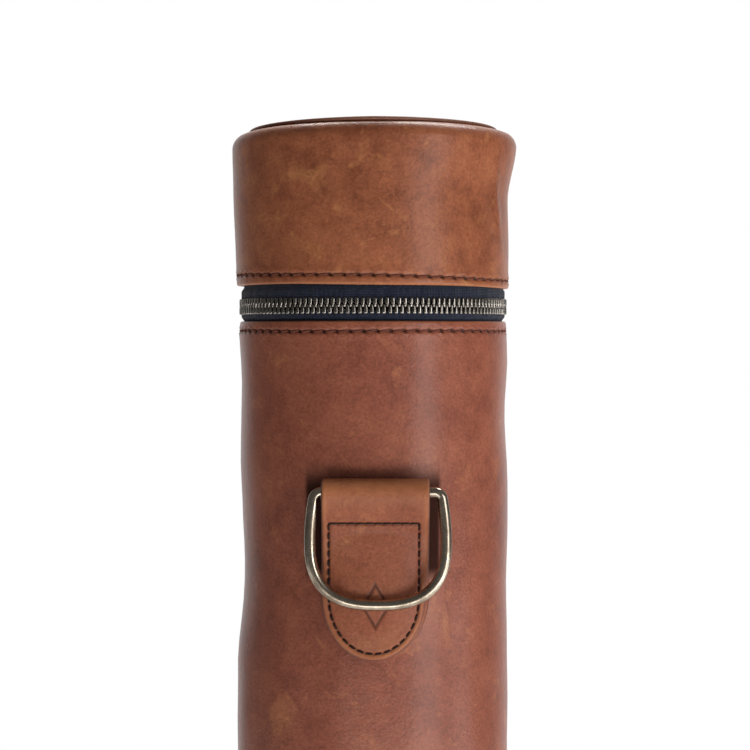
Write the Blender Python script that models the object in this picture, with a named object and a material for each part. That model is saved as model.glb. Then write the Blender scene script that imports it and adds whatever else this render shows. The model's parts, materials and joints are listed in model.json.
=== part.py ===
"""Tubular leather cue case: stiff body and lid joined by a leather hinge, a zip round the opening,
two D-rings in folded leather tabs for a strap, and a padded divider that makes four compartments.

The case stands on its base: +Z is its length, the origin is the centre of the base's flat underside,
the D-rings face -Y and the hinge is at +Y. Lengths are in metres.
"""

import math

import bmesh
import bpy
from mathutils import Euler, Vector

MM = 0.001

# Driving dimensions
CASE_LENGTH = 812 * MM
CASE_RADIUS = 51 * MM
LEATHER = 1.8 * MM
CORE = 1.8 * MM
LINING = 1.0 * MM
PLY_GAP = 0.3 * MM
SHOULDER_RADIUS = 6 * MM
END_LEATHER = 1.0 * MM
BODY_TOP = 739.6 * MM
LID_BOTTOM = 752.4 * MM
CHAIN_HEIGHT = 745 * MM
DISC_RADIUS = 47 * MM
BOARD_RADIUS = 46.8 * MM
BOARD_THICKNESS = 2.1 * MM
BOARD_GAP = 0.8 * MM
CORE_SETBACK = 4.6 * MM
PAD_THICKNESS = 5 * MM
DIVIDER_TOP = 727 * MM
DIVIDER_HALF_WIDTH = 44.2 * MM
DIVIDER_THICKNESS = 6 * MM
SEGMENTS = 48
STEP = 360 / SEGMENTS

# Radii of the plies, from the outside in
LEATHER_INNER = CASE_RADIUS - LEATHER
TAPE_HIDDEN = LEATHER_INNER - PLY_GAP
TAPE_THICKNESS = 0.7 * MM
TAPE_SHOWN = TAPE_HIDDEN + 0.9 * MM
CORE_OUTER = TAPE_HIDDEN - TAPE_THICKNESS - PLY_GAP
CORE_INNER = CORE_OUTER - CORE
LINING_OUTER = CORE_INNER - PLY_GAP
LINING_INNER = LINING_OUTER - LINING

# Zip: the tapes stop beside the hinge, and the teeth stop a little before them
HINGE_DIRECTION = 90
TAPE_END = 3 * STEP
TEETH_END = 36.5
TOOTH_PITCH = 2.13 * MM
TOOTH_INNER = 48.2 * MM
TOOTH_OUTER = 50.7 * MM
SLIT = 1.5 * MM
TOOTH_HEIGHT = 1.75 * MM
TOOTH_SPINE = 0.6 * MM
TAPE_TO_TEETH = 0.3 * MM
STOP_ANGLE = 2.6

# Slider: it rests at the closed end of the zip, behind the right-hand side
SLIDER_DIRECTION = 44
SLIDER_LENGTH = 11 * MM
SLIDER_OUTER = (51.4 * MM, 52.6 * MM)
SLIDER_INNER = (46.4 * MM, 47.8 * MM)
SLIDER_TOP = 3.4 * MM
SLIDER_BOTTOM = -4.6 * MM
OUTER_FLANGE = 50.2 * MM
INNER_FLANGE = 48.3 * MM
BRIDGE_BAR = 1.1 * MM
PULL_RADIUS = 54.9 * MM
PULL_EYE = 1.9 * MM
PULL_BORE = 1.1 * MM
PULL_THICKNESS = 1.4 * MM
PULL_LENGTH = 30 * MM

# Hinge strip and back seam, laid on the outside of the leather
STRIP_INNER = CASE_RADIUS + PLY_GAP
STRIP_THICKNESS = 1.4 * MM
HINGE_HALF_ANGLE = 24
HINGE_STRIP_BOTTOM = 720 * MM
HINGE_STRIP_TOP = 775 * MM
HINGE_AXIS_Y = STRIP_INNER + STRIP_THICKNESS / 2
SEAM_HALF_ANGLE = 9

# D-rings and the folded tabs that hold them
RING_BAR_HEIGHTS = {"upper": 679.5 * MM, "lower": 250 * MM}
RING_OFFSET = 1.8 * MM
RING_WIRE = 2.0 * MM
RING_HALF_WIDTH = 23.85 * MM
RING_TOP_HALF_WIDTH = 22.6 * MM
RING_WIDEST = 17 * MM
RING_DROP = 39.3 * MM
RING_CORNER = 2.9 * MM
RING_FULLNESS = 2.6
RING_LEAN = 4.5
TAB_OFFSET = 0.9 * MM
TAB_HALF_WIDTH = 19 * MM
TAB_LENGTH = 59.4 * MM
TAB_LEATHER = 2.6 * MM
TAB_CHANNEL = RING_WIRE + PLY_GAP
TAB_FOLD = TAB_CHANNEL + TAB_LEATHER
TAB_ROUND_START = 37.5 * MM

COLOURS = {
    "leather_body": ((0.245, 0.082, 0.049), 0.45, 0.0),
    "leather_lid": ((0.290, 0.108, 0.058), 0.45, 0.0),
    "leather_tab": ((0.290, 0.100, 0.052), 0.42, 0.0),
    "fibre_board": ((0.360, 0.270, 0.180), 0.85, 0.0),
    "lining_cloth": ((0.020, 0.024, 0.036), 0.95, 0.0),
    "zip_tape": ((0.013, 0.016, 0.028), 0.90, 0.0),
    "antique_brass": ((0.230, 0.180, 0.110), 0.30, 1.0),
    "dark_zip_metal": ((0.150, 0.120, 0.085), 0.35, 1.0),
}


def clear_scene():
    for item in list(bpy.data.objects):
        bpy.data.objects.remove(item, do_unlink=True)


def make_materials():
    """One Principled material per colour, by name."""
    made = {}
    for name, (colour, roughness, metallic) in COLOURS.items():
        material = bpy.data.materials.new(name)
        material.use_nodes = True
        shader = material.node_tree.nodes["Principled BSDF"]
        shader.inputs["Base Color"].default_value = (*colour, 1.0)
        shader.inputs["Roughness"].default_value = roughness
        shader.inputs["Metallic"].default_value = metallic
        material.diffuse_color = (*colour, 1.0)
        made[name] = material
    return made


def around(radius, degrees, height):
    """A point at this radius, anticlockwise from +X as seen from above."""
    angle = math.radians(degrees)
    return Vector((radius * math.cos(angle), radius * math.sin(angle), height))


def arc(centre, radius, start, end, steps):
    """Points of a profile's arc, both ends included, in the (radius, height) plane."""
    points = []
    for i in range(steps + 1):
        angle = math.radians(start + (end - start) * i / steps)
        points.append((centre[0] + radius * math.cos(angle), centre[1] + radius * math.sin(angle)))
    return points


def add_piece(name, data, material, parent=None, smooth=True):
    """An object that carries this mesh or curve, in its parent's frame."""
    piece = bpy.data.objects.new(name, data)
    bpy.context.scene.collection.objects.link(piece)
    data.materials.append(MATERIALS[material])
    piece.parent = parent
    if smooth and isinstance(data, bpy.types.Mesh):
        data.shade_smooth()
        data.set_sharp_from_angle(angle=math.radians(35))
    return piece


def add_axis(name, location, turn=0.0, parent=None):
    """An empty on a joint's axis."""
    empty = bpy.data.objects.new(name, None)
    empty.empty_display_size = 20 * MM
    empty.location = location
    empty.rotation_euler = Euler((0.0, 0.0, math.radians(turn)))
    empty.parent = parent
    bpy.context.scene.collection.objects.link(empty)
    return empty


def mesh_from(name, work):
    """The finished mesh of a bmesh, its faces turned outwards."""
    bmesh.ops.recalc_face_normals(work, faces=work.faces)
    mesh = bpy.data.meshes.new(name)
    work.to_mesh(mesh)
    work.free()
    return mesh


def turned(name, profile, directions=None, offset=(0.0, 0.0)):
    """A profile of (radius, height) turned about Z: all the way round, or through these directions.

    A point on the axis becomes a pole. offset is the frame's own (y, z) in the case.
    """
    full = directions is None
    if full:
        directions = [STEP * i for i in range(SEGMENTS)]
    shift = Vector((0.0, offset[0], offset[1]))
    work = bmesh.new()
    poles = {}
    rings = []
    for degrees in directions:
        ring = []
        for i, (radius, height) in enumerate(profile):
            if radius == 0.0:
                if i not in poles:
                    poles[i] = work.verts.new(Vector((0.0, 0.0, height)) - shift)
                ring.append(poles[i])
            else:
                ring.append(work.verts.new(around(radius, degrees, height) - shift))
        rings.append(ring)
    count = len(profile)
    spans = len(rings) if full else len(rings) - 1
    for i in range(spans):
        here, there = rings[i], rings[(i + 1) % len(rings)]
        for k in range(count):
            corners = []
            for vert in (here[k], here[(k + 1) % count], there[(k + 1) % count], there[k]):
                if vert not in corners:
                    corners.append(vert)
            if len(corners) > 2:
                work.faces.new(corners)
    if not full:
        work.faces.new(rings[0])
        work.faces.new(rings[-1])
    return mesh_from(name, work)


def box_profile(inner, outer, bottom, top):
    return [(inner, bottom), (outer, bottom), (outer, top), (inner, top)]


def sweep(start, end, steps=None):
    """Directions from start to end, stopping at every whole step of the case's own facets."""
    if steps:
        return [start + (end - start) * i / steps for i in range(steps + 1)]
    between = [STEP * i for i in range(math.ceil(start / STEP), math.floor(end / STEP) + 1)]
    return sorted({round(start, 6), *between, round(end, 6)})


def union(piece, *others):
    """Boolean unions of helper pieces into this one; the helpers stay as hidden wireframes."""
    for other in others:
        modifier = piece.modifiers.new("join_" + other.name, "BOOLEAN")
        modifier.operation = "UNION"
        modifier.solver = "EXACT"
        modifier.object = other
        hide_helper(other)


def cut(piece, cutter):
    modifier = piece.modifiers.new("cut_" + cutter.name, "BOOLEAN")
    modifier.operation = "DIFFERENCE"
    modifier.solver = "EXACT"
    modifier.object = cutter
    hide_helper(cutter)


def hide_helper(helper):
    helper.hide_render = True
    helper.display_type = "WIRE"


def rod(name, radius, length, sides, material, parent=None):
    """A cylinder along X, centred on its parent."""
    work = bmesh.new()
    bmesh.ops.create_cone(
        work, cap_ends=True, segments=sides, radius1=radius, radius2=radius, depth=length
    )
    bmesh.ops.rotate(work, verts=work.verts, matrix=Euler((0.0, math.pi / 2, 0.0)).to_matrix())
    return add_piece(name, mesh_from(name, work), material, parent)


def slab(name, outline, thickness, to_point):
    """A flat outline extruded through its thickness, each corner placed by to_point(a, b, depth)."""
    work = bmesh.new()
    face = work.faces.new([work.verts.new(to_point(a, b, -thickness / 2)) for a, b in outline])
    grown = bmesh.ops.extrude_face_region(work, geom=[face])["geom"]
    shift = to_point(0.0, 0.0, thickness / 2) - to_point(0.0, 0.0, -thickness / 2)
    verts = [item for item in grown if isinstance(item, bmesh.types.BMVert)]
    bmesh.ops.translate(work, verts=verts, vec=shift)
    return mesh_from(name, work)


def shell_profile(open_end, end_plane, side):
    """A leather wall from its open edge to the rounded, turned-in lip under an end disc.

    side is +1 where the end lies above the open edge and -1 where it lies below.
    """
    centre_radius = CASE_RADIUS - SHOULDER_RADIUS
    centre_height = end_plane - side * SHOULDER_RADIUS
    centre = (centre_radius, centre_height)
    lip_end = centre_radius - 1 * MM
    outer = arc(centre, SHOULDER_RADIUS, 0, side * 90, 3)
    inner = arc(centre, SHOULDER_RADIUS - LEATHER, side * 90, 0, 3)
    points = [(CASE_RADIUS, open_end)]
    points += outer[:-1]
    points += [(lip_end, end_plane), (lip_end, end_plane - side * LEATHER)]
    points += inner
    points += [(LEATHER_INNER, open_end)]
    return points


def disc_profile(radius, bottom, top):
    return [(0.0, bottom), (radius, bottom), (radius, top), (0.0, top)]


def make_body():
    """The root body: leather tube, stiff core, lining, base and the padded divider."""
    lip = END_LEATHER + PLY_GAP
    board_bottom = lip + LEATHER + BOARD_GAP
    board = (board_bottom, board_bottom + BOARD_THICKNESS)
    inside = board[1] + PLY_GAP
    pad_top = inside + PAD_THICKNESS
    core_top = BODY_TOP - CORE_SETBACK

    profile = shell_profile(BODY_TOP, lip, -1)
    add_piece("body_leather", turned("body_leather", profile), "leather_body")
    profile = box_profile(CORE_INNER, CORE_OUTER, inside, core_top)
    add_piece("body_core", turned("body_core", profile), "fibre_board")
    profile = box_profile(LINING_INNER, LINING_OUTER, inside, core_top)
    add_piece("body_lining", turned("body_lining", profile), "lining_cloth")
    profile = disc_profile(DISC_RADIUS, 0.0, END_LEATHER)
    add_piece("base_leather", turned("base_leather", profile), "leather_body")
    profile = disc_profile(BOARD_RADIUS, *board)
    add_piece("base_board", turned("base_board", profile), "fibre_board")
    profile = disc_profile(LINING_INNER - PLY_GAP, inside, pad_top)
    add_piece("base_pad", turned("base_pad", profile), "lining_cloth")
    make_divider(pad_top + PLY_GAP)


def make_divider(bottom):
    """A padded cross: one full-width panel and two half panels that meet it."""
    half_width = DIVIDER_HALF_WIDTH
    half_thickness = DIVIDER_THICKNESS / 2
    inner_edge = half_thickness + PLY_GAP
    spans = {
        "divider_main": ((-half_width, half_width), (-half_thickness, half_thickness)),
        "divider_front": ((-half_thickness, half_thickness), (-half_width, -inner_edge)),
        "divider_back": ((-half_thickness, half_thickness), (inner_edge, half_width)),
    }
    for name, (across, along) in spans.items():
        work = bmesh.new()
        bmesh.ops.create_cube(work, size=1.0)
        size = (across[1] - across[0], along[1] - along[0], DIVIDER_TOP - bottom)
        bmesh.ops.scale(work, verts=work.verts, vec=size)
        piece = add_piece(name, mesh_from(name, work), "lining_cloth")
        piece.location = (sum(across) / 2, sum(along) / 2, (DIVIDER_TOP + bottom) / 2)
        bevel = piece.modifiers.new("soft_edges", "BEVEL")
        bevel.width = 1.2 * MM
        bevel.segments = 2


def make_lid(hinge):
    """The lid's shell, in the hinge axis's frame."""
    offset = (HINGE_AXIS_Y, CHAIN_HEIGHT)
    lip = CASE_LENGTH - END_LEATHER - PLY_GAP
    board_top = lip - LEATHER - BOARD_GAP
    board = (board_top - BOARD_THICKNESS, board_top)
    inside = board[0] - PLY_GAP
    lining_top = inside - LINING
    core_bottom = LID_BOTTOM + 2.6 * MM
    lining_bottom = LID_BOTTOM + 0.6 * MM

    def lid_piece(name, profile, material):
        add_piece(name, turned(name, profile, offset=offset), material, hinge)

    lid_piece("lid_leather", shell_profile(LID_BOTTOM, lip, 1), "leather_lid")
    lid_piece("lid_core", box_profile(CORE_INNER, CORE_OUTER, core_bottom, inside), "fibre_board")
    cup = [
        (0.0, lining_top),
        (LINING_INNER, lining_top),
        (LINING_INNER, lining_bottom),
        (LINING_OUTER, lining_bottom),
        (LINING_OUTER, inside),
        (0.0, inside),
    ]
    lid_piece("lid_lining", cup, "lining_cloth")
    lid_piece("lid_board", disc_profile(BOARD_RADIUS, *board), "fibre_board")
    top = disc_profile(DISC_RADIUS, CASE_LENGTH - END_LEATHER, CASE_LENGTH)
    lid_piece("lid_top_leather", top, "leather_lid")


def tape_profile(tooth_edge, leather_edge, side):
    """A zip tape: sewn in behind the leather, and stepping outwards where it shows in the gap.

    side is +1 for the lid's tape, above the teeth, and -1 for the body's.
    """
    hidden_inner = TAPE_HIDDEN - TAPE_THICKNESS
    shown_inner = TAPE_SHOWN - TAPE_THICKNESS
    hidden = leather_edge - side * 0.2 * MM
    shown = leather_edge - side * 1.4 * MM
    far = leather_edge + side * 12 * MM
    return [
        (TAPE_SHOWN, tooth_edge),
        (TAPE_SHOWN, shown),
        (TAPE_HIDDEN, hidden),
        (TAPE_HIDDEN, far),
        (hidden_inner, far),
        (hidden_inner, hidden),
        (shown_inner, shown),
        (shown_inner, tooth_edge),
    ]


def tooth_row(name, side, offset):
    """A toothed row: a thin spine along the tape's edge with every tooth extruded from it."""
    start = HINGE_DIRECTION - 360 + TEETH_END
    end = HINGE_DIRECTION - TEETH_END
    mean_radius = (TOOTH_INNER + TOOTH_OUTER) / 2
    teeth = int(math.radians(end - start) * mean_radius / TOOTH_PITCH)
    tip = CHAIN_HEIGHT + side * SLIT / 2
    spine = (tip + side * (TOOTH_HEIGHT - TOOTH_SPINE), tip + side * TOOTH_HEIGHT)
    shift = Vector((0.0, offset[0], offset[1]))
    steps = 2 * teeth - 1
    work = bmesh.new()
    rings = []
    for i in range(steps + 1):
        degrees = start + (end - start) * i / steps
        corners = ((TOOTH_INNER, spine[0]), (TOOTH_OUTER, spine[0]))
        corners += ((TOOTH_OUTER, spine[1]), (TOOTH_INNER, spine[1]))
        rings.append([work.verts.new(around(r, degrees, z) - shift) for r, z in corners])
    tooth_faces = []
    for i in range(steps):
        for k in range(4):
            nxt = (k + 1) % 4
            face = work.faces.new((rings[i][k], rings[i][nxt], rings[i + 1][nxt], rings[i + 1][k]))
            if k == 0 and i % 2 == 0:
                tooth_faces.append(face)
    work.faces.new(rings[0])
    work.faces.new(rings[-1])
    lift = Vector((0.0, 0.0, -side * (TOOTH_HEIGHT - TOOTH_SPINE)))
    grown = bmesh.ops.extrude_discrete_faces(work, faces=tooth_faces)["faces"]
    bmesh.ops.translate(work, verts=[v for face in grown for v in face.verts], vec=lift)
    return mesh_from(name, work)


def end_stop(name, start, end, bottom, top, parent=None, offset=(0.0, 0.0)):
    profile = box_profile(TOOTH_INNER, TOOTH_OUTER, bottom, top)
    mesh = turned(name, profile, sweep(start, end, steps=2), offset)
    add_piece(name, mesh, "dark_zip_metal", parent)


def make_zip(hinge):
    """Both tapes, both rows of teeth and their end stops."""
    lid_offset = (HINGE_AXIS_Y, CHAIN_HEIGHT)
    tape_directions = sweep(HINGE_DIRECTION - 360 + TAPE_END, HINGE_DIRECTION - TAPE_END)
    row_top = CHAIN_HEIGHT - SLIT / 2
    row_bottom = row_top - TOOTH_HEIGHT
    lid_row_bottom = CHAIN_HEIGHT + SLIT / 2
    lid_row_top = lid_row_bottom + TOOTH_HEIGHT

    profile = tape_profile(row_bottom - TAPE_TO_TEETH, BODY_TOP, -1)
    add_piece("lower_tape", turned("lower_tape", profile, tape_directions), "zip_tape")
    profile = tape_profile(lid_row_top + TAPE_TO_TEETH, LID_BOTTOM, 1)
    mesh = turned("upper_tape", profile, tape_directions, lid_offset)
    add_piece("upper_tape", mesh, "zip_tape", hinge)

    mesh = tooth_row("lower_teeth", -1, (0.0, 0.0))
    add_piece("lower_teeth", mesh, "dark_zip_metal", smooth=False)
    mesh = tooth_row("upper_teeth", 1, lid_offset)
    add_piece("upper_teeth", mesh, "dark_zip_metal", hinge, smooth=False)

    right = HINGE_DIRECTION - TEETH_END + 0.5
    left = HINGE_DIRECTION + TEETH_END - 0.5
    end_stop("lower_top_stop", right, right + STOP_ANGLE, row_bottom, row_top)
    end_stop("bottom_stop", left - STOP_ANGLE, left, row_bottom, CHAIN_HEIGHT + 0.45 * MM)
    span = (lid_row_bottom, lid_row_top)
    end_stop("upper_top_stop", right, right + STOP_ANGLE, *span, hinge, lid_offset)


def make_slider(travel):
    """The slider: two curved plates that hold the lower row, one post and a bridge for the pull.

    Its flanges hook under the body's row only, and the lid's row lifts out between the plates.
    """
    half_angle = math.degrees(SLIDER_LENGTH / 2 / SLIDER_OUTER[0])
    directions = sweep(-half_angle, half_angle, steps=4)
    low = SLIDER_BOTTOM
    flange = low + 0.8 * MM
    outer = [
        (SLIDER_OUTER[0], SLIDER_TOP),
        (SLIDER_OUTER[1], SLIDER_TOP),
        (SLIDER_OUTER[1], low),
        (OUTER_FLANGE, low),
        (OUTER_FLANGE, flange),
        (SLIDER_OUTER[0], flange),
    ]
    inner = [
        (SLIDER_INNER[0], SLIDER_TOP),
        (SLIDER_INNER[1], SLIDER_TOP),
        (SLIDER_INNER[1], flange),
        (INNER_FLANGE, flange),
        (INNER_FLANGE, low),
        (SLIDER_INNER[0], low),
    ]
    post = box_profile(SLIDER_INNER[0] + 0.6 * MM, SLIDER_OUTER[1] - 0.6 * MM, -0.45 * MM, 0.45 * MM)
    post_directions = [half_angle * 0.6, half_angle * 0.75, half_angle * 0.9]

    mesh = turned("slider_body", outer, directions)
    slider = add_piece("slider_body", mesh, "dark_zip_metal", travel)
    mesh = turned("slider_inner_plate", inner, directions)
    inner_plate = add_piece("slider_inner_plate", mesh, "dark_zip_metal", travel)
    mesh = turned("slider_post", post, post_directions)
    post_piece = add_piece("slider_post", mesh, "dark_zip_metal", travel)

    bar_inner = PULL_RADIUS - BRIDGE_BAR / 2
    bar_outer = PULL_RADIUS + BRIDGE_BAR / 2
    foot = SLIDER_OUTER[1] - 0.35 * MM
    arch = [
        (-4.2 * MM, foot),
        (-4.2 * MM, bar_outer),
        (4.2 * MM, bar_outer),
        (4.2 * MM, foot),
        (3.1 * MM, foot),
        (3.1 * MM, bar_inner),
        (-3.1 * MM, bar_inner),
        (-3.1 * MM, foot),
    ]
    mesh = slab("slider_bridge", arch, BRIDGE_BAR, lambda a, b, d: Vector((b, a, d)))
    bridge = add_piece("slider_bridge", mesh, "dark_zip_metal", travel)
    union(slider, bridge, post_piece, inner_plate)


def make_pull(swing):
    """The pull: an eye round the bridge's bar and a flat tab that hangs from it.

    The swing axis is the parent's own X, along the bar, with the parent's Y pointing outwards.
    """
    eye = rod("pull_tab", PULL_EYE, 3.2 * MM, 16, "dark_zip_metal", swing)
    outline = [
        (-1.6, -1.3),
        (-1.6, -4.0),
        (-3.6, -9.0),
        (-3.6, -27.5),
        (-2.2, -30.0),
        (2.2, -30.0),
        (3.6, -27.5),
        (3.6, -9.0),
        (1.6, -4.0),
        (1.6, -1.3),
    ]
    scale = PULL_LENGTH / 30
    outline = [(a * scale, b * scale) for a, b in outline]
    mesh = slab("pull_plate", outline, PULL_THICKNESS, lambda a, b, d: Vector((a, d, b)))
    plate = add_piece("pull_plate", mesh, "dark_zip_metal", swing, smooth=False)
    bore = rod("pull_bore", PULL_BORE, 6 * MM, 12, "dark_zip_metal", swing)
    union(eye, plate)
    cut(eye, bore)


def make_strips():
    """The leather hinge across the gap at the back, and the strip over the body's back seam."""
    low = HINGE_DIRECTION - HINGE_HALF_ANGLE
    high = HINGE_DIRECTION + HINGE_HALF_ANGLE
    span = (HINGE_STRIP_BOTTOM, HINGE_STRIP_TOP)
    outer = STRIP_INNER + STRIP_THICKNESS
    mesh = turned("hinge_strip", box_profile(STRIP_INNER, outer, *span), sweep(low, high))
    add_piece("hinge_strip", mesh, "leather_body")
    low = HINGE_DIRECTION - SEAM_HALF_ANGLE
    high = HINGE_DIRECTION + SEAM_HALF_ANGLE
    span = (8 * MM, HINGE_STRIP_BOTTOM - 1.5 * MM)
    mesh = turned("seam_strip", box_profile(STRIP_INNER, outer, *span), sweep(low, high))
    add_piece("seam_strip", mesh, "leather_body")


def ring_path():
    """The D-ring's centreline: straight bar, arms that spread a little and a full, flattened bow."""
    right = arc((RING_TOP_HALF_WIDTH - RING_CORNER, -RING_CORNER), RING_CORNER, 90, 0, 4)
    for share in (0.3, 0.65):
        spread = (RING_HALF_WIDTH - RING_TOP_HALF_WIDTH) * (1 - (1 - share) ** 2)
        height = RING_CORNER + (RING_WIDEST - RING_CORNER) * share
        right.append((RING_TOP_HALF_WIDTH + spread, -height))
    bow = RING_DROP - RING_WIDEST
    for degrees in range(0, 91, 10):
        across = math.cos(math.radians(degrees)) ** (2 / RING_FULLNESS)
        down = math.sin(math.radians(degrees)) ** (2 / RING_FULLNESS)
        right.append((RING_HALF_WIDTH * across, -RING_WIDEST - bow * down))
    left = [(-x, z) for x, z in reversed(right[:-1])]
    return right + left


def make_ring(name, swing):
    """The wire D-ring as a curve with a round bevel, leaning outwards over its tab."""
    curve = bpy.data.curves.new(name, "CURVE")
    curve.dimensions = "3D"
    curve.bevel_depth = RING_WIRE
    curve.bevel_resolution = 2
    curve.resolution_u = 1
    path = ring_path()
    spline = curve.splines.new("POLY")
    spline.points.add(len(path) - 1)
    spline.use_cyclic_u = True
    spline.use_smooth = True
    lean = math.radians(RING_LEAN)
    for point, (x, z) in zip(spline.points, path):
        point.co = (x, z * math.sin(lean), z * math.cos(lean), 1.0)
    add_piece(name, curve, "antique_brass", swing)


def tab_outline():
    """The folded tab's section: (depth outwards from the case, distance below the ring's bar).

    It runs up the rear layer, over the fold round the bar and down the front layer.
    """
    double = 2 * TAB_LEATHER
    lower = []
    for degrees in (84, 72, 58, 42, 24, 0):
        drop = (TAB_LENGTH - TAB_ROUND_START) * math.sin(math.radians(degrees)) / math.sin(math.radians(84))
        lower.append((TAB_ROUND_START + drop, math.cos(math.radians(degrees))))
    lower += [(28 * MM, 1.0), (22 * MM, 1.0), (16 * MM, 1.0)]
    rear = [(0.0, below, width) for below, width in lower]
    rear.append((0.0, 8 * MM, 1.0))
    fold = []
    for i in range(9):
        angle = math.pi * (1 - i / 8)
        depth = TAB_FOLD + TAB_FOLD * math.cos(angle)
        fold.append((depth, -TAB_FOLD * math.sin(angle), 1.0))
    front = []
    for i in range(1, 5):
        share = i / 5
        ease = share * share * (3 - 2 * share)
        front.append((2 * TAB_FOLD + (double - 2 * TAB_FOLD) * ease, 16 * MM * share, 1.0))
    front += [(double, below, width) for below, width in reversed(lower)]
    return rear + fold + front, len(lower)


def make_tab(name, height):
    """A leather tab folded round a D-ring's bar: straight at the fold, curved to the case below."""
    outline, shared = tab_outline()
    columns = 8
    base = CASE_RADIUS + PLY_GAP
    bar_y = -(base + TAB_FOLD)
    work = bmesh.new()
    grid = []
    for depth, below, width in outline:
        bend = min(max((below - 5 * MM) / (23 * MM), 0.0), 1.0)
        bend = bend * bend * (3 - 2 * bend)
        row = []
        for i in range(columns + 1):
            x = TAB_HALF_WIDTH * width * (2 * i / columns - 1)
            on_case = math.sqrt(base * base - (x + TAB_OFFSET) ** 2)
            y = -(base + (on_case - base) * bend) - depth
            row.append(work.verts.new((x, y - bar_y, -below)))
        grid.append(row)
    count = len(grid)
    for k in range(count):
        here, there = grid[k], grid[(k + 1) % count]
        for i in range(columns):
            work.faces.new((here[i], here[i + 1], there[i + 1], there[i]))
    for side in (0, columns):
        for k in range(shared - 1):
            front = count - 1 - k
            work.faces.new((grid[k][side], grid[k + 1][side], grid[front - 1][side], grid[front][side]))
        work.faces.new([grid[k][side] for k in range(shared - 1, count - shared + 1)])
    tab = add_piece(name, mesh_from(name, work), "leather_tab")
    tab.location = (TAB_OFFSET, bar_y, height)
    channel = rod(name + "_channel", TAB_CHANNEL, 3 * TAB_HALF_WIDTH, 16, "leather_tab")
    channel.location = tab.location
    cut(tab, channel)


def make_rings():
    bar_y = -(CASE_RADIUS + PLY_GAP + TAB_FOLD)
    for place, height in RING_BAR_HEIGHTS.items():
        make_tab(place + "_ring_tab", height)
        swing = add_axis(place + "_ring_axis", (RING_OFFSET, bar_y, height))
        make_ring(place + "_d_ring", swing)


clear_scene()
MATERIALS = make_materials()
hinge_axis = add_axis("lid_hinge_axis", (0.0, HINGE_AXIS_Y, CHAIN_HEIGHT))
slider_axis = add_axis("slider_travel_axis", (0.0, 0.0, CHAIN_HEIGHT), SLIDER_DIRECTION)
pull_axis = add_axis("pull_swing_axis", (PULL_RADIUS, 0.0, 0.0), -90, slider_axis)
make_body()
make_lid(hinge_axis)
make_zip(hinge_axis)
make_slider(slider_axis)
make_pull(pull_axis)
make_strips()
make_rings()
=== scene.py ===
"""The looks of the tubular leather cue case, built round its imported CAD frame.

Lengths are in metres and angles in radians unless a name says otherwise. The case stands on z = 0,
its D-rings face -Y and its lid hinges at +Y.
"""

import json
import math

import bmesh
import bpy
import numpy as np
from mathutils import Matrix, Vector


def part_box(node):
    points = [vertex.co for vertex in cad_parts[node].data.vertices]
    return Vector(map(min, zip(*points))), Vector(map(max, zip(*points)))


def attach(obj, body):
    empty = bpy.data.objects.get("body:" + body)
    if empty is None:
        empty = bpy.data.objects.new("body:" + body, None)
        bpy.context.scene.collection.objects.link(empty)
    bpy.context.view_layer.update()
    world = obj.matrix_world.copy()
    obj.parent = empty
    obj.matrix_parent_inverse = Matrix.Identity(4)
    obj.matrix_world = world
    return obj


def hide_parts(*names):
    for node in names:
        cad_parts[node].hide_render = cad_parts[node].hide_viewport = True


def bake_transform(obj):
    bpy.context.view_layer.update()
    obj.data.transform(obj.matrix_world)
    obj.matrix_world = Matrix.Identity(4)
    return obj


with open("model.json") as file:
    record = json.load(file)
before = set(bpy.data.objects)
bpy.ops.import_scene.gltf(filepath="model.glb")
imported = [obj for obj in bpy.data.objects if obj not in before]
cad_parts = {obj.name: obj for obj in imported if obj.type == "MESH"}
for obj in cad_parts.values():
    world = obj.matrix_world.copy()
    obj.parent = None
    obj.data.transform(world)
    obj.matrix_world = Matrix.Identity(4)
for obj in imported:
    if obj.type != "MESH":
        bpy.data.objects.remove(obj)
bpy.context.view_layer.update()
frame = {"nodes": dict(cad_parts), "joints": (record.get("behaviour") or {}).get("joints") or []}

MM = 0.001
FRONT = math.radians(270)
BACK = math.radians(90)
JOINTS = {joint["name"]: joint for joint in frame["joints"]}

# Places taken from the frame
CASE_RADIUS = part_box("body_leather")[1].x
BODY_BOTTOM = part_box("body_leather")[0].z
BODY_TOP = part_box("body_leather")[1].z
LID_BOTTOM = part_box("lid_leather")[0].z
LID_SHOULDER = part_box("lid_leather")[1].z
CASE_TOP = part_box("lid_top_leather")[1].z
TOP_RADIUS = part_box("lid_top_leather")[1].x
CHAIN_HEIGHT = JOINTS["lid_hinge"]["pos_m"][2]
RING_BARS = {
    "upper": Vector(JOINTS["upper_ring_swing"]["pos_m"]),
    "lower": Vector(JOINTS["lower_ring_swing"]["pos_m"]),
}

# Leather
WALL = 1.8 * MM
SHOULDER = 6 * MM
CROWN = 0.8 * MM
INNER_CROWN = 0.5 * MM
LIP_RADIUS = CASE_RADIUS - SHOULDER - 1 * MM
LAID_RADIUS = CASE_RADIUS + 0.3 * MM  # the back of what is laid on the wall
THIN_EDGE = 0.04 * MM  # half the thickness at the rim of a rounded sheet
STRIP_THICKNESS = 1.4 * MM
COLUMNS = 780
FINE_ROWS = 0.33 * MM  # spacing of the wall's rows at its stitches
HINGE_STRIP_HALF = math.radians(24)
SEAM_STRIP_HALF = math.radians(9)
LINING_THICKNESS = 1.0 * MM
SHARP = math.radians(40)  # metal edges over this are rounded over
HUB = 2 * MM  # radius of the flat middle that closes a turned shape

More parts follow.
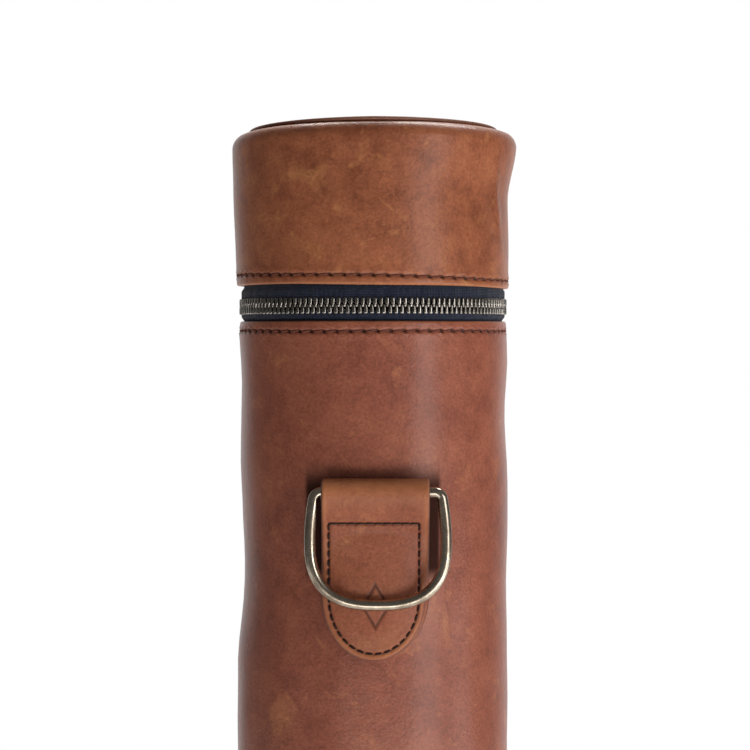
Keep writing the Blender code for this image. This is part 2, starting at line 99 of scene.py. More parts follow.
# Stitching
THREAD = 0.36 * MM
LID_STITCHES = 62
BODY_STITCHES = 66
LID_STITCH_RISE = 3.3 * MM
BODY_STITCH_DROP = 3.6 * MM
STITCH_DEPTH = 0.18 * MM  # how far the round stitches lie below the wall's face
FLAT_STITCH_DEPTH = 0.12 * MM  # and those of the tabs and strips
STITCH_GAP = 0.13  # share of the pitch left bare at each end of a stitch
GROOVE_DEPTH = 0.30 * MM
HOLE_DEPTH = 0.80 * MM
HOLE_LIP = 0.26 * MM
HOLE_SLANT = math.radians(28)

# Zip
TOOTH_PITCH = 2.13 * MM
TEETH_END = math.radians(36.5)
TOOTH_INNER, TOOTH_OUTER = 48.2 * MM, 50.7 * MM
TOOTH_MID = (TOOTH_INNER + TOOTH_OUTER) / 2
TAPE_END = math.radians(22.5)
TAPE_SHOWN, TAPE_HIDDEN = 49.9 * MM, 48.9 * MM  # outer radius in the gap and behind the leather
TAPE_THICKNESS = 0.7 * MM

# D-rings and tabs; heights are distances below the ring's bar
RING_WIRE = 2.0 * MM
RING_HALF_WIDTH = 23.85 * MM
RING_TOP_HALF_WIDTH = 22.6 * MM
RING_WIDEST = 17 * MM
RING_DROP = 39.3 * MM
RING_CORNER = 2.9 * MM
RING_FULLNESS = 2.6
RING_LEAN = math.radians(4.5)
TAB_OFFSET = 0.9 * MM
TAB_HALF_WIDTH = 19 * MM
TAB_LENGTH = 59.4 * MM
TAB_ROUND_START = 37.5 * MM
TAB_LAYER = 2.6 * MM
TAB_LAYER_GAP = 0.05 * MM
TAB_FOLD = 4.9 * MM
TAB_CLOSED = 16 * MM  # where the two layers have come together
TAB_STITCH_HALF = 15.9 * MM
TAB_STITCH_SHIFT = -0.5 * MM
TAB_STITCH_END = 56.9 * MM
TAB_TOP_STITCH = 10.6 * MM
TAB_STITCH_PITCH = 3.25 * MM
TAB_NARROWING = 1.3 * MM
TAB_THREAD = 0.42 * MM
LOZENGE_DEPTH = 0.20 * MM

random = np.random.default_rng(7)


# ---------------------------------------------------------------- meshes

def smoothstep(value):
    value = np.clip(value, 0.0, 1.0)
    return value * value * (3 - 2 * value)


def ease_between(x, points):
    """A smooth curve through (x, y) points, level at each of them."""
    xs, ys = zip(*points)
    x = np.clip(x, xs[0], xs[-1])
    i = np.clip(np.searchsorted(xs, x, side="right") - 1, 0, len(xs) - 2)
    low = np.take(xs, i)
    share = smoothstep((x - low) / (np.take(xs, i + 1) - low))
    return np.take(ys, i) * (1 - share) + np.take(ys, i + 1) * share


def bell(x, width):
    return np.exp(-((x / width) ** 2))


def round_edge(inside, rounding):
    """The share of full thickness this far in from a rim that is rounded over."""
    return np.sqrt(1 - (1 - np.clip(inside / rounding, 0, 1)) ** 2)


def full_turn(count):
    return np.linspace(0, 2 * math.pi, count, endpoint=False)


def crowded(count):
    """Numbers from -1 to 1, closer together towards both ends."""
    return np.sin(np.linspace(-math.pi / 2, math.pi / 2, count))


def unit(rows):
    return rows / np.linalg.norm(rows, axis=1)[:, None]


def polar(radius, angle, height):
    """Points at a radius, an angle and a height, as one array."""
    radius, angle, height = np.broadcast_arrays(radius, angle, height)
    return np.stack([radius * np.cos(angle), radius * np.sin(angle), height], -1)


def add_object(name, data):
    made = bpy.data.objects.new(name, data)
    bpy.context.scene.collection.objects.link(made)
    return made


def finish_mesh(name, points, faces, material, smooth_below=None):
    """An object from points and faces, facing outwards and shaded smooth."""
    mesh = bpy.data.meshes.new(name)
    mesh.from_pydata(np.asarray(points).reshape(-1, 3).tolist(), [], faces)
    work = bmesh.new()
    work.from_mesh(mesh)
    bmesh.ops.recalc_face_normals(work, faces=work.faces)
    work.to_mesh(mesh)
    work.free()
    mesh.shade_smooth()
    if smooth_below:
        mesh.set_sharp_from_angle(angle=math.radians(smooth_below))
    mesh.materials.append(material)
    return add_object(name, mesh)


def mark(piece, kind, amount):
    """Stores an amount from 0 to 1 at each point for the leather's colour.

    One kind is painted shade, darker, in holes, grooves and pressed lines; the other is edge wear
    with painted light on the tabs' folds, lighter.
    """
    values = np.zeros(len(piece.data.vertices), np.float32)
    amount = np.clip(amount, 0.0, 1.0).astype(np.float32).reshape(-1)
    values[: amount.size] = amount
    layer = piece.data.attributes.new(kind, "FLOAT", "POINT")
    layer.data.foreach_set("value", values)


def grid_faces(rows, columns, wrap_rows, wrap_columns, start=0):
    """Quads over a grid of points, numbered row by row."""
    index = np.arange(rows * columns).reshape(rows, columns) + start
    if wrap_rows:
        index = np.vstack([index, index[:1]])
    if wrap_columns:
        index = np.hstack([index, index[:, :1]])
    corners = (index[:-1, :-1], index[:-1, 1:], index[1:, 1:], index[1:, :-1])
    return np.stack(corners, -1).reshape(-1, 4).tolist()


def grid_solid(name, grid, material, smooth_below=None, open_rows=False, open_columns=False):
    """A closed body from a grid that wraps round both ways; an open way ends in flat faces."""
    index = np.arange(grid[..., 0].size).reshape(grid.shape[:2])
    faces = grid_faces(*index.shape, not open_rows, not open_columns)
    if open_rows:
        faces += [index[0].tolist(), index[-1].tolist()]
    if open_columns:
        faces += [index[:, 0].tolist(), index[:, -1].tolist()]
    return finish_mesh(name, grid, faces, material, smooth_below)


def many_solids(name, grids, material, smooth_below=None):
    """Small closed bodies as one piece, from their grids, whose rows run from end to end."""
    count, rows, columns = grids.shape[:3]
    block = rows * columns
    quads = np.array(grid_faces(rows, columns, False, True))
    faces = []
    for first in range(0, count * block, block):
        faces += (quads + first).tolist()
        faces.append([first + k for k in range(columns)])
        faces.append([first + block - 1 - k for k in range(columns)])
    return finish_mesh(name, grids, faces, material, smooth_below)


def sheet_solid(name, front, back, material):
    """A sheet with rounded edges, from the grids of its two skins."""
    rows, columns = front.shape[:2]
    half = rows * columns
    faces = grid_faces(rows, columns, False, False)
    faces += grid_faces(rows, columns, False, False, half)
    index = np.arange(half).reshape(rows, columns)
    rim = np.concatenate([index[0, :-1], index[:-1, -1], index[-1, :0:-1], index[:0:-1, 0]])
    after = np.roll(rim, -1)
    faces += np.stack([rim, after, after + half, rim + half], -1).tolist()
    return finish_mesh(name, np.stack([front, back]), faces, material)


def arc_points(centre, radius, start, end, steps):
    """(radius, height) points of an arc given in degrees, both ends included."""
    angles = np.radians(np.linspace(start, end, steps + 1))
    return [(centre[0] + radius * math.cos(a), centre[1] + radius * math.sin(a)) for a in angles]


def line_points(first, last, spacing):
    """Evenly spaced points from first up to, but not including, last."""
    (x, y), (run, rise) = first, (last[0] - first[0], last[1] - first[1])
    count = max(1, math.ceil(math.hypot(run, rise) / spacing))
    return [(x + run * share, y + rise * share) for share in np.arange(count) / count]


def upright_points(radius, start, end, spacing):
    return line_points((radius, start), (radius, end), spacing)


def place(piece, body, *nodes, slot=None):
    """Rides a finished piece on a body, in place of these CAD nodes."""
    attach(piece, body)
    if nodes:
        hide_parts(*nodes)


# ---------------------------------------------------------------- materials

def new_material(name):
    material = bpy.data.materials.new(name)
    material.use_nodes = True
    return material, material.node_tree, material.node_tree.nodes["Principled BSDF"]


def fill(target, inputs):
    """Sets a node's inputs; each is a value, a colour or another node's output."""
    for key, value in inputs.items():
        socket = target.inputs[key]
        if isinstance(value, bpy.types.NodeSocket):
            target.id_data.links.new(value, socket)
        else:
            socket.default_value = (*value, 1.0) if socket.type == "RGBA" else value


def node(tree, kind, inputs=None, **settings):
    """Adds a node."""
    made = tree.nodes.new(kind)
    for key, value in settings.items():
        setattr(made, key, value)
    fill(made, inputs or {})
    return made


def object_space(tree, scale=(1.0, 1.0, 1.0), turn=(0.0, 0.0, 0.0), shift=(0.0, 0.0, 0.0)):
    """Object coordinates, stretched, turned and shifted."""
    vector = node(tree, "ShaderNodeTexCoord").outputs["Object"]
    inputs = {"Vector": vector, "Scale": scale, "Rotation": turn, "Location": shift}
    return node(tree, "ShaderNodeMapping", inputs).outputs[0]


def noise(vector, scale, detail, roughness=0.5, distortion=0.0):
    inputs = {"Vector": vector, "Scale": scale, "Detail": detail, "Roughness": roughness}
    inputs["Distortion"] = distortion
    return node(vector.id_data, "ShaderNodeTexNoise", inputs).outputs[0]


def ramp(value, *stops):
    """A value or colour by position; stops are (position, grey or colour)."""
    made = node(value.id_data, "ShaderNodeValToRGB", {"Fac": value})
    elements = made.color_ramp.elements
    while len(elements) < len(stops):
        elements.new(0.5)
    for element, (position, colour) in zip(elements, stops):
        element.position = position
        if isinstance(colour, (int, float)):
            colour = (colour, colour, colour)
        element.color = (*colour, 1.0)
    return made.outputs[0]


def blend_colours(share, first, second, mode="MIX"):
    inputs = {0: share, 6: first, 7: second}
    made = node(first.id_data, "ShaderNodeMix", inputs, data_type="RGBA", blend_type=mode)
    return made.outputs[2]


def combine(operation, first, second):
    made = node(first.id_data, "ShaderNodeMath", {0: first, 1: second}, operation=operation)
    return made.outputs[0]


def times(first, second):
    return combine("MULTIPLY", first, second)


def plus(first, second):
    return combine("ADD", first, second)


def bump(height, distance, normal=None, strength=1.0):
    inputs = {"Height": height, "Distance": distance, "Strength": strength}
    if normal:
        inputs["Normal"] = normal
    return node(height.id_data, "ShaderNodeBump", inputs).outputs[0]


def fade(value, start, end):
    """A smooth 0 to 1 as the value goes from start to end."""
    inputs = {"Value": value, "From Min": start, "From Max": end}
    made = node(value.id_data, "ShaderNodeMapRange", inputs, interpolation_type="SMOOTHSTEP")
    return made.outputs[0]


def tinted(colour, amount):
    return tuple(channel * amount for channel in colour)


def ring_shade_mask(tree):
    """Painted shade: 1 on the front leather behind the D-rings, round and above their tabs, else 0.
    """
    x, y, z = node(tree, "ShaderNodeSeparateXYZ", {"Vector": object_space(tree)}).outputs
    beside = combine("ABSOLUTE", x, 0.0)
    column = fade(beside, RING_HALF_WIDTH + 1 * MM, RING_HALF_WIDTH - 1 * MM)
    column = times(column, fade(y, 0.0, -20 * MM))
    spots = None
    for bar in RING_BARS.values():
        foot = bar.z - RING_DROP
        spot = times(fade(z, foot + 5 * MM, foot + 12 * MM), fade(z, bar.z + 10 * MM, bar.z))
        spots = combine("MAXIMUM", spots, spot) if spots else spot
    return times(column, spots)


def fine_scratches(tree, space, shift):
    """Short slanting scratches in two directions, gathered in patches."""
    scratches = None
    for turn, stretch in ((0.7, 0.16), (-1.0, 0.22)):
        slanted = object_space(tree, turn=(turn * 0.5, turn, 0.0), shift=(shift, 0.3, 0.1))
        inputs = {"Vector": slanted, "Scale": (1.0, 1.0, stretch)}
        lines = noise(node(tree, "ShaderNodeMapping", inputs).outputs[0], 190.0, 2.0, 0.4, 0.5)
        lines = ramp(lines, (0.71, 0.0), (0.73, 1.0), (0.75, 0.0))
        scratches = combine("MAXIMUM", scratches, lines) if scratches else lines
    return times(scratches, ramp(noise(space, 40.0, 2.0), (0.48, 0.0), (0.60, 1.0)))


def leather(name, dark, middle, light, worn, wax, shift=0.0, ring_shade=0.0):
    """Waxed pull-up leather: cloudy patina, pale wear spots, fine scratches, pores and small
    creases.

    The last argument is how strongly the painted shade behind the D-rings darkens the leather
    and dulls its coat.
    """
    material, tree, shader = new_material(name)
    space = object_space(tree, shift=(shift, shift * 0.7, shift * 1.3))
    clouds = noise(space, 22.0, 3.0, 0.55, 0.4)
    mottle = noise(space, 130.0, 5.0, 0.65, 0.2)
    speckle = noise(space, 900.0, 3.0, 0.6)
    patina = plus(times(clouds, 0.45), times(mottle, 0.55))
    colour = ramp(patina, (0.37, dark), (0.50, middle), (0.65, light))
    spots = ramp(noise(space, 75.0, 5.0, 0.62, 0.6), (0.585, 0.0), (0.74, 0.8))
    colour = blend_colours(spots, colour, worn)
    colour = blend_colours(1.0, colour, ramp(speckle, (0.32, 0.82), (0.62, 1.10)), "MULTIPLY")
    scratches = fine_scratches(tree, space, shift)
    colour = blend_colours(times(scratches, 0.6), colour, worn)
    # Wear stored on the edges, and painted light on the tabs' fold tops, lightens the colour.
    wear = node(tree, "ShaderNodeAttribute", attribute_name="worn").outputs["Fac"]
    wear = times(wear, ramp(mottle, (0.30, 0.55), (0.62, 1.0)))
    colour = blend_colours(wear, colour, worn)

    # Painted shade stored in the holes, grooves and pressed lines darkens the colour.
    sunk = node(tree, "ShaderNodeAttribute", attribute_name="sunk").outputs["Fac"]
    rough = plus(plus(times(mottle, 0.25), times(speckle, 0.12)), 0.30)
    coat = wax
    # Painted shade behind the D-rings: a darker colour, rougher, and with less coat.
    if ring_shade:
        ring_shading = times(ring_shade_mask(tree), ring_shade)
        sunk = combine("MAXIMUM", sunk, ring_shading)
        rough = plus(rough, times(ring_shading, 0.5))
        inputs = {0: wax, 1: times(ring_shading, wax)}
        coat = node(tree, "ShaderNodeMath", inputs, operation="SUBTRACT").outputs[0]
    # Painted shade: darker where shade is stored or painted behind the D-rings.
    colour = blend_colours(sunk, colour, tinted(dark, 0.14))

    inputs = {"Vector": space, "Scale": 1250.0, "Randomness": 1.0}
    pores = node(tree, "ShaderNodeTexVoronoi", inputs, feature="SMOOTH_F1").outputs[0]
    creases = noise(space, 420.0, 4.0, 0.65, 1.2)
    soft = bump(noise(space, 60.0, 3.0, 0.5), 0.9 * MM, strength=0.30)
    normal = bump(creases, 0.22 * MM, soft, 0.75)
    normal = bump(pores, 0.12 * MM, normal, 0.8)
    normal = bump(times(scratches, -1.0), 0.08 * MM, normal, 0.5)
    film = bump(pores, 0.08 * MM, bump(creases, 0.14 * MM, soft, 0.5), 0.5)
    fill(shader, {
        "Base Color": colour,
        "Roughness": rough,
        "Normal": normal,
        "Specular IOR Level": 0.16,
        "Coat Normal": film,
        "Coat Weight": coat,
        "Coat Roughness": 0.22,
        "Coat IOR": 1.42,
    })
    return material


def cut_edge(name, colour):
    """The burnished cut edge of leather, with its fibres' fine lines."""
    material, tree, shader = new_material(name)
    fibres = noise(object_space(tree, (1.0, 1.0, 5.0)), 700.0, 3.0, 0.6)
    fill(shader, {
        "Base Color": ramp(fibres, (0.3, tinted(colour, 0.6)), (0.7, tinted(colour, 1.3))),
        "Normal": bump(fibres, 0.1 * MM, strength=0.6),
        "Roughness": 0.55,
    })
    return material


def thread_material(name, colour):
    """Waxed twisted thread."""
    material, tree, shader = new_material(name)
    inputs = {"Vector": object_space(tree), "Scale": 900.0, "Distortion": 1.5}
    twist = node(tree, "ShaderNodeTexWave", inputs, bands_direction="DIAGONAL").outputs[1]
    fibres = noise(object_space(tree), 1500.0, 2.0)
    tint = ramp(twist, (0.0, tinted(colour, 0.55)), (1.0, tinted(colour, 1.2)))
    fill(shader, {
        "Base Color": blend_colours(1.0, tint, ramp(fibres, (0.3, 0.75), (0.7, 1.1)), "MULTIPLY"),
        "Normal": bump(twist, 0.12 * MM, strength=0.8),
        "Roughness": 0.65,
        "Specular IOR Level": 0.2,
    })
    return material


def cloth(name, dark, light, pitch, sheen, relief):
    """Woven cloth or tape: crossing threads at this pitch, with a little unevenness."""
    material, tree, shader = new_material(name)
    space = object_space(tree)
    inputs = {
        "Vector": space,
        "Scale": 0.314 / pitch,  # bands repeat every 2 pi / 20 at a scale of 1
        "Distortion": 0.6,
        "Detail": 1.0,
        "Detail Scale": 3.0,
    }
    x, y, z = (
        node(tree, "ShaderNodeTexWave", inputs, bands_direction=direction).outputs[1]
        for direction in ("X", "Y", "Z")
    )
    weave = times(plus(x, y), z)
    fuzz = noise(space, 900.0, 4.0, 0.7)
    shade = plus(times(weave, 0.35), times(fuzz, 0.65))
    fill(shader, {
        "Base Color": ramp(shade, (0.25, dark), (0.75, light)),
        "Normal": bump(fuzz, 0.20 * MM, bump(weave, 0.20 * MM, strength=relief), 0.8),
        "Roughness": 0.9,
        "Specular IOR Level": 0.25,
        "Sheen Weight": sheen,
        "Sheen Roughness": 0.5,
    })
    return material


def metal(name, dark, light, rough_low, rough_high, wear_scale):
    """Antiqued metal: darker in its blotches, brighter and smoother where use has polished it."""
    material, tree, shader = new_material(name)
    space = object_space(tree)
    blotches = noise(space, wear_scale, 5.0, 0.6, 0.5)
    fine = noise(space, wear_scale * 9, 3.0, 0.6)
    colour = ramp(blotches, (0.35, dark), (0.65, light))
    fill(shader, {
        "Base Color": blend_colours(1.0, colour, ramp(fine, (0.3, 0.85), (0.7, 1.1)), "MULTIPLY"),
        "Roughness": ramp(blotches, (0.35, rough_high), (0.65, rough_low)),
        "Normal": bump(fine, 0.02 * MM, strength=0.5),
        "Metallic": 1.0,
    })
    return material


def board(name):
    """Grey-brown fibre board."""
    material, tree, shader = new_material(name)
    fibres = noise(object_space(tree, (1.0, 1.0, 0.3)), 300.0, 4.0, 0.7)
    fill(shader, {
        "Base Color": ramp(fibres, (0.3, (0.20, 0.14, 0.09)), (0.7, (0.34, 0.26, 0.18))),
        "Normal": bump(fibres, 0.1 * MM, strength=0.5),
        "Roughness": 0.85,
    })
    return material


BODY_LEATHER = leather(
    "body_pullup",
    dark=(0.208, 0.058, 0.033),
    middle=(0.270, 0.079, 0.045),
    light=(0.326, 0.103, 0.056),
    worn=(0.430, 0.155, 0.068),
    wax=0.40,
    # how dark the painted shade behind the D-rings is
    ring_shade=0.97,
)
LID_LEATHER = leather(
    "lid_pullup",
    dark=(0.215, 0.063, 0.028),
    middle=(0.315, 0.098, 0.044),
    light=(0.385, 0.132, 0.056),
    worn=(0.480, 0.190, 0.072),
    wax=0.30,
    shift=0.37,
)
TAB_LEATHER = leather(
    "tab_pullup",
    dark=(0.215, 0.060, 0.030),
    middle=(0.270, 0.080, 0.040),
    light=(0.320, 0.104, 0.051),
    worn=(0.430, 0.160, 0.068),
    wax=0.15,
    shift=0.71,
)
EDGE = cut_edge("cut_leather_edge", (0.150, 0.055, 0.034))
PALE_EDGE = cut_edge("pale_leather_edge", (0.240, 0.095, 0.055))
THREAD_BROWN = thread_material("waxed_thread", (0.190, 0.056, 0.034))
THREAD_DARK = thread_material("dark_thread", (0.026, 0.010, 0.007))
TAPE = cloth(
    "navy_zip_tape", (0.003, 0.005, 0.012), (0.020, 0.028, 0.058), 0.55 * MM, 0.15, 0.8
)
LINING = cloth(
    "brushed_lining", (0.010, 0.012, 0.020), (0.030, 0.036, 0.055), 0.7 * MM, 0.4, 0.3
)
BRASS = metal(
    "antique_brass_wire", (0.250, 0.200, 0.148), (0.610, 0.515, 0.400), 0.20, 0.34, 90.0
)
ZIP_METAL = metal(
    "dark_zip_brass", (0.150, 0.133, 0.112), (0.360, 0.330, 0.296), 0.13, 0.30, 260.0
)
BOARD = board("fibre_board_grain")


# ---------------------------------------------------------------- stage

CAMERA_PLACE = (0.76 * MM, -0.680, 0.7363)
CAMERA_TILT = math.radians(90 - 1.44)
VIEW_MIDDLE = (0.0, 0.0, 0.69)
LAMPS = (  # name, place, aim, size, power in watts
    ("key", (0.95, -0.95, 0.60), VIEW_MIDDLE, (0.50, 1.3), 9.0),
    ("low_front", (0.10, -1.10, 0.06), VIEW_MIDDLE, (1.5, 0.5), 7.2),
    ("low_right", (1.05, -0.25, 0.10), VIEW_MIDDLE, (0.5, 0.8), 4.0),
    ("low_left", (-1.05, -0.55, 0.10), VIEW_MIDDLE, (0.5, 0.8), 0.3),
    ("top_back", (0.15, 0.55, 1.75), (0.0, 0.0, 0.80), (1.0, 0.4), 16.0),
)


def make_floor():
    rings = np.array([0.02, 0.4, 0.8, 1.4, 2.2])
    grid = polar(rings[:, None], full_turn(96), 0.0)
    rows, columns = grid.shape[:2]
    faces = grid_faces(rows, columns, False, True) + [list(range(columns))]
    material, tree, shader = new_material("pale_floor")
    grain = noise(object_space(tree), 60.0, 3.0)
    fill(shader, {
        "Base Color": ramp(grain, (0.3, 0.80), (0.7, 0.84)),
        "Roughness": 0.7,
        "Emission Color": (1.0, 0.99, 0.98),
        "Emission Strength": 0.35,
    })
    floor = finish_mesh("floor", grid, faces, material)


def make_studio():
    """White all round for the camera; what the object reflects is dim but for the far +Y side."""
    world = bpy.data.worlds.new("studio")
    bpy.context.scene.world = world
    world.use_nodes = True
    tree = world.node_tree
    direction = node(tree, "ShaderNodeTexCoord").outputs["Generated"]
    split = node(tree, "ShaderNodeSeparateXYZ", {"Vector": direction})
    surround = ramp(fade(split.outputs[1], 0.50, 0.92), (0.0, 0.10), (1.0, 1.0))
    is_camera = node(tree, "ShaderNodeLightPath").outputs["Is Camera Ray"]
    seen = blend_colours(is_camera, surround, (1.0, 1.0, 1.0))
    fill(tree.nodes["Background"], {"Color": seen, "Strength": 1.0})

    for name, location, target, size, power in LAMPS:
        light = bpy.data.lights.new(name, "AREA")
        light.shape = "RECTANGLE"
        light.size, light.size_y = size
        light.energy = power
        lamp = add_object(name, light)
        lamp.location = location
        aim = Vector(target) - Vector(location)
        lamp.rotation_euler = aim.to_track_quat("-Z", "Y").to_euler()
        lamp.visible_camera = False


def make_camera():
    camera = bpy.data.cameras.new("camera")
    camera.lens = 85.7
    camera.sensor_width = 36.0
    camera.clip_start = 0.05
    camera.clip_end = 20.0
    viewer = add_object("camera", camera)
    viewer.location = CAMERA_PLACE
    viewer.rotation_euler = (CAMERA_TILT, 0.0, 0.0)
    bpy.context.scene.camera = viewer
    bpy.context.scene.view_settings.view_transform = "Standard"


# ---------------------------------------------------------------- stitches

def thread_run(name, starts, ends, normals, sides, material, thickness=THREAD, sink=0.45 * MM):
    """A row of stitches as one piece: each goes from its start to its end, diving at both."""
    rise = 0.10 * MM
    stations = np.array([-1.0, -0.93, -0.75, -0.4, 0.0, 0.4, 0.75, 0.93, 1.0])
    middles = (starts + ends) / 2
    runs = (ends - starts) / 2
    lift = rise - (sink + rise) * np.abs(stations) ** 5
    spine = middles[:, None] + runs[:, None] * stations[None, :, None]
    spine = spine + normals[:, None] * lift[None, :, None]
    angles = full_turn(8)
    girth = thickness * (0.75 + 0.25 * np.sqrt(1 - stations**2 * 0.98))
    out = np.cos(angles)[None, None, :, None] * sides[:, None, None, :]
    out = out + 0.8 * np.sin(angles)[None, None, :, None] * normals[:, None, None, :]
    return many_solids(name, spine[:, :, None] + out * girth[None, :, None, None], material)


def round_stitches(name, count, phase, surface):
    """Stitches round the case, clear of the hinge strip.

    surface(angle, across) gives points; across is up from the line.
    """
    pitch = 2 * math.pi / count
    holes = phase + pitch * np.arange(count) + random.normal(0, 0.02 * pitch, count)
    holes = holes[under_hinge(holes) <= 0]
    gap = STITCH_GAP * pitch
    starts = surface(holes + gap, -0.20 * MM)
    ends = surface(holes + pitch - gap, 0.18 * MM)
    normals = polar(1.0, holes + pitch / 2, 0.0)
    sides = np.tile(np.array([0.0, 0.0, 1.0]), (len(holes), 1))
    return thread_run(name, starts, ends, normals, sides, THREAD_BROWN)


def stitch_hole(along, across, pitch):
    """1 in the middle of each slanted hole along a line of stitches, 0 away from it.

    along is the distance from the first hole and across the distance from the line. The distances
    along and across the nearest hole's own slant come with it.
    """
    near = (along + pitch / 2) % pitch - pitch / 2
    length = near * math.cos(HOLE_SLANT) - across * math.sin(HOLE_SLANT)
    width = near * math.sin(HOLE_SLANT) + across * math.cos(HOLE_SLANT)
    return bell(length, 0.95 * MM) * bell(width, 0.42 * MM), length, width


def stitch_relief(along, across, pitch):
    """How leather sinks and puckers along a line of stitches."""
    hole, length, width = stitch_hole(along, across, pitch)
    relief = -GROOVE_DEPTH * bell(across, 0.75 * MM) - HOLE_DEPTH * hole
    for side in (-1, 1):
        lip = bell(length, 1.0 * MM) * bell(width - side * 1.0 * MM, 0.5 * MM)
        relief = relief + HOLE_LIP * lip
        relief = relief + 0.12 * MM * bell(across - side * 1.9 * MM, 1.1 * MM)
    return relief


def stitch_shade(along, across, pitch):
    """The painted shade along the stitches: in the holes, and a trace of it in the groove."""
    hole = stitch_hole(along, across, pitch)[0]
    return np.clip(hole * 1.6, 0, 1) + 0.35 * bell(across, 0.45 * MM)


# ---------------------------------------------------------------- leather walls

# (height, how far the leather stands off its true cylinder in millimetres) down each side
BODY_LEFT_SWELL = (
    (0.130, 0.0), (0.210, 0.9), (0.330, -0.8), (0.450, 0.3), (0.520, 0.4), (0.590, 0.8),
    (0.607, 0.5), (0.648, -2.2), (0.670, -1.4), (0.690, -0.4), (0.716, -1.1), (0.734, -0.3),
    (0.740, -0.6),
)
BODY_RIGHT_SWELL = (
    (0.090, 0.0), (0.200, 0.8), (0.300, -0.4), (0.402, 0.9), (0.505, -0.6), (0.590, 0.3),
    (0.630, -0.1), (0.674, 0.4), (0.706, -0.7), (0.727, 0.0), (0.740, -0.6),
)
LID_LEFT_SWELL = ((0.7524, 0.8), (0.765, 1.1), (0.790, 1.9), (0.806, 2.2))
LID_RIGHT_SWELL = ((0.7524, 0.3), (0.766, 0.5), (0.785, -0.1), (0.806, 3.3))
LID_RIDGE_ANGLE = math.radians(-27)
LID_RIDGE_HEIGHT = 0.783


def turn_from(angle, direction):
    """How far an angle is from a direction, from half a turn back to half a turn on."""
    return (angle - direction + math.pi) % (2 * math.pi) - math.pi


def sides_swell(angle, height, left, right):
    """The swell of both sides, each falling to 0 at the front and the back."""
    swell = 0
    for towards, points in ((math.pi, left), (0.0, right)):
        weight = np.clip(np.cos(angle - towards), 0.0, 1.0) ** 1.3
        swell = swell + weight * ease_between(height, points) * MM
    return swell


def soft_waves(angle, height):
    """Gentle hand-made unevenness, a few centimetres from crest to crest."""
    slant = 0.22 * MM * np.sin(3 * angle + height * 61) * np.sin(height * 47 + angle)
    dents = 0.16 * MM * np.sin(7 * angle - height * 83 + 1.3) * np.sin(2 * angle + height * 119)
    return slant + dents


def body_swell(angle, height):
    """How far the body's leather stands off its true cylinder: its back is a little hollow."""
    hollow = np.clip(np.cos(angle - BACK), 0.0, 1.0) ** 1.3 * bell(height - 0.480, 0.120)
    swell = sides_swell(angle, height, BODY_LEFT_SWELL, BODY_RIGHT_SWELL) - 0.3 * MM * hollow
    return swell + soft_waves(angle, height)


def lid_swell(angle, height):
    """How far the lid's leather stands off its true cylinder: it flares to the upper right."""
    above = height - LID_RIDGE_HEIGHT
    ridge = bell(turn_from(angle, LID_RIDGE_ANGLE) + above * 4, 0.060) * bell(above, 13 * MM)
    swell = sides_swell(angle, height, LID_LEFT_SWELL, LID_RIGHT_SWELL)
    return swell + 0.55 * MM * ridge + 0.7 * soft_waves(angle, height)


def lid_top_drop(angle):
    """The lid's top sags a little on the left."""
    return 0.65 * MM * np.clip(-np.cos(angle), 0, 1)


def lid_edge_shift(angle):
    """The lid's lower edge drops a little from left to right."""
    return -0.55 * MM * np.cos(angle) + 0.10 * MM * np.sin(5 * angle)


def lid_stitch_height(angle):
    waves = 0.12 * MM * np.sin(4 * angle + 1)
    return LID_BOTTOM + LID_STITCH_RISE - 1.1 * MM * np.cos(angle) + waves


def body_stitch_height(angle):
    return BODY_TOP - BODY_STITCH_DROP + 0.12 * MM * np.sin(4 * angle)


def under_hinge(angle):
    """1 where the hinge strip lies over the wall, fading to 0 just past it."""
    away = np.abs(turn_from(angle, BACK))
    return 1.0 - smoothstep((away - HINGE_STRIP_HALF) / math.radians(4))


def make_wall(
    part, body, material, count, phase, outer, inner,
    drawn_line, line, swell, skins, height_of, worn,
):
    """A tube of leather, puckered along its row of stitches, with painted shade in their holes and
    groove.

    outer and inner are the section's (radius, height) points, end to end. skins(angle, radius,
    height) gives how far the outer and the inner skin stand off, and height_of(angle, height) where
    a height ends up. line is the stitches' height, and drawn_line the same before height_of. swell
    gives the skin that the stitches lie on, and the last argument how much lighter a height of the
    outside is.
    """
    angles = full_turn(COLUMNS)
    rows = np.array(outer + inner)
    radius, height = rows[:, :1], rows[:, 1:]
    outside = np.arange(len(rows))[:, None] < len(outer)
    free = 1 - under_hinge(angles)
    pitch = 2 * math.pi * CASE_RADIUS / count
    along = (angles - phase) * CASE_RADIUS
    across = height - drawn_line(angles)
    relief = stitch_relief(along, across, pitch) * free
    outer_skin, inner_skin = skins(angles, radius, height)
    radius = radius + np.where(outside, outer_skin + relief, inner_skin)
    wall = grid_solid(part + "_wall", polar(radius, angles, height_of(angles, height)), material)
    # Painted shade in the stitch holes and along the groove.
    mark(wall, "sunk", stitch_shade(along, across[: len(outer)], pitch) * free)
    mark(wall, "worn", np.repeat(worn(rows[: len(outer), 1]), COLUMNS))
    place(wall, body, part + "_leather", slot="leather_" + part)

    def surface(angle, across):
        height = line(angle) + across
        return polar(CASE_RADIUS - STITCH_DEPTH + swell(angle, height), angle, height)

    stitches = round_stitches(part + "_stitches", count, phase, surface)
    place(stitches, body, slot="leather_" + part)


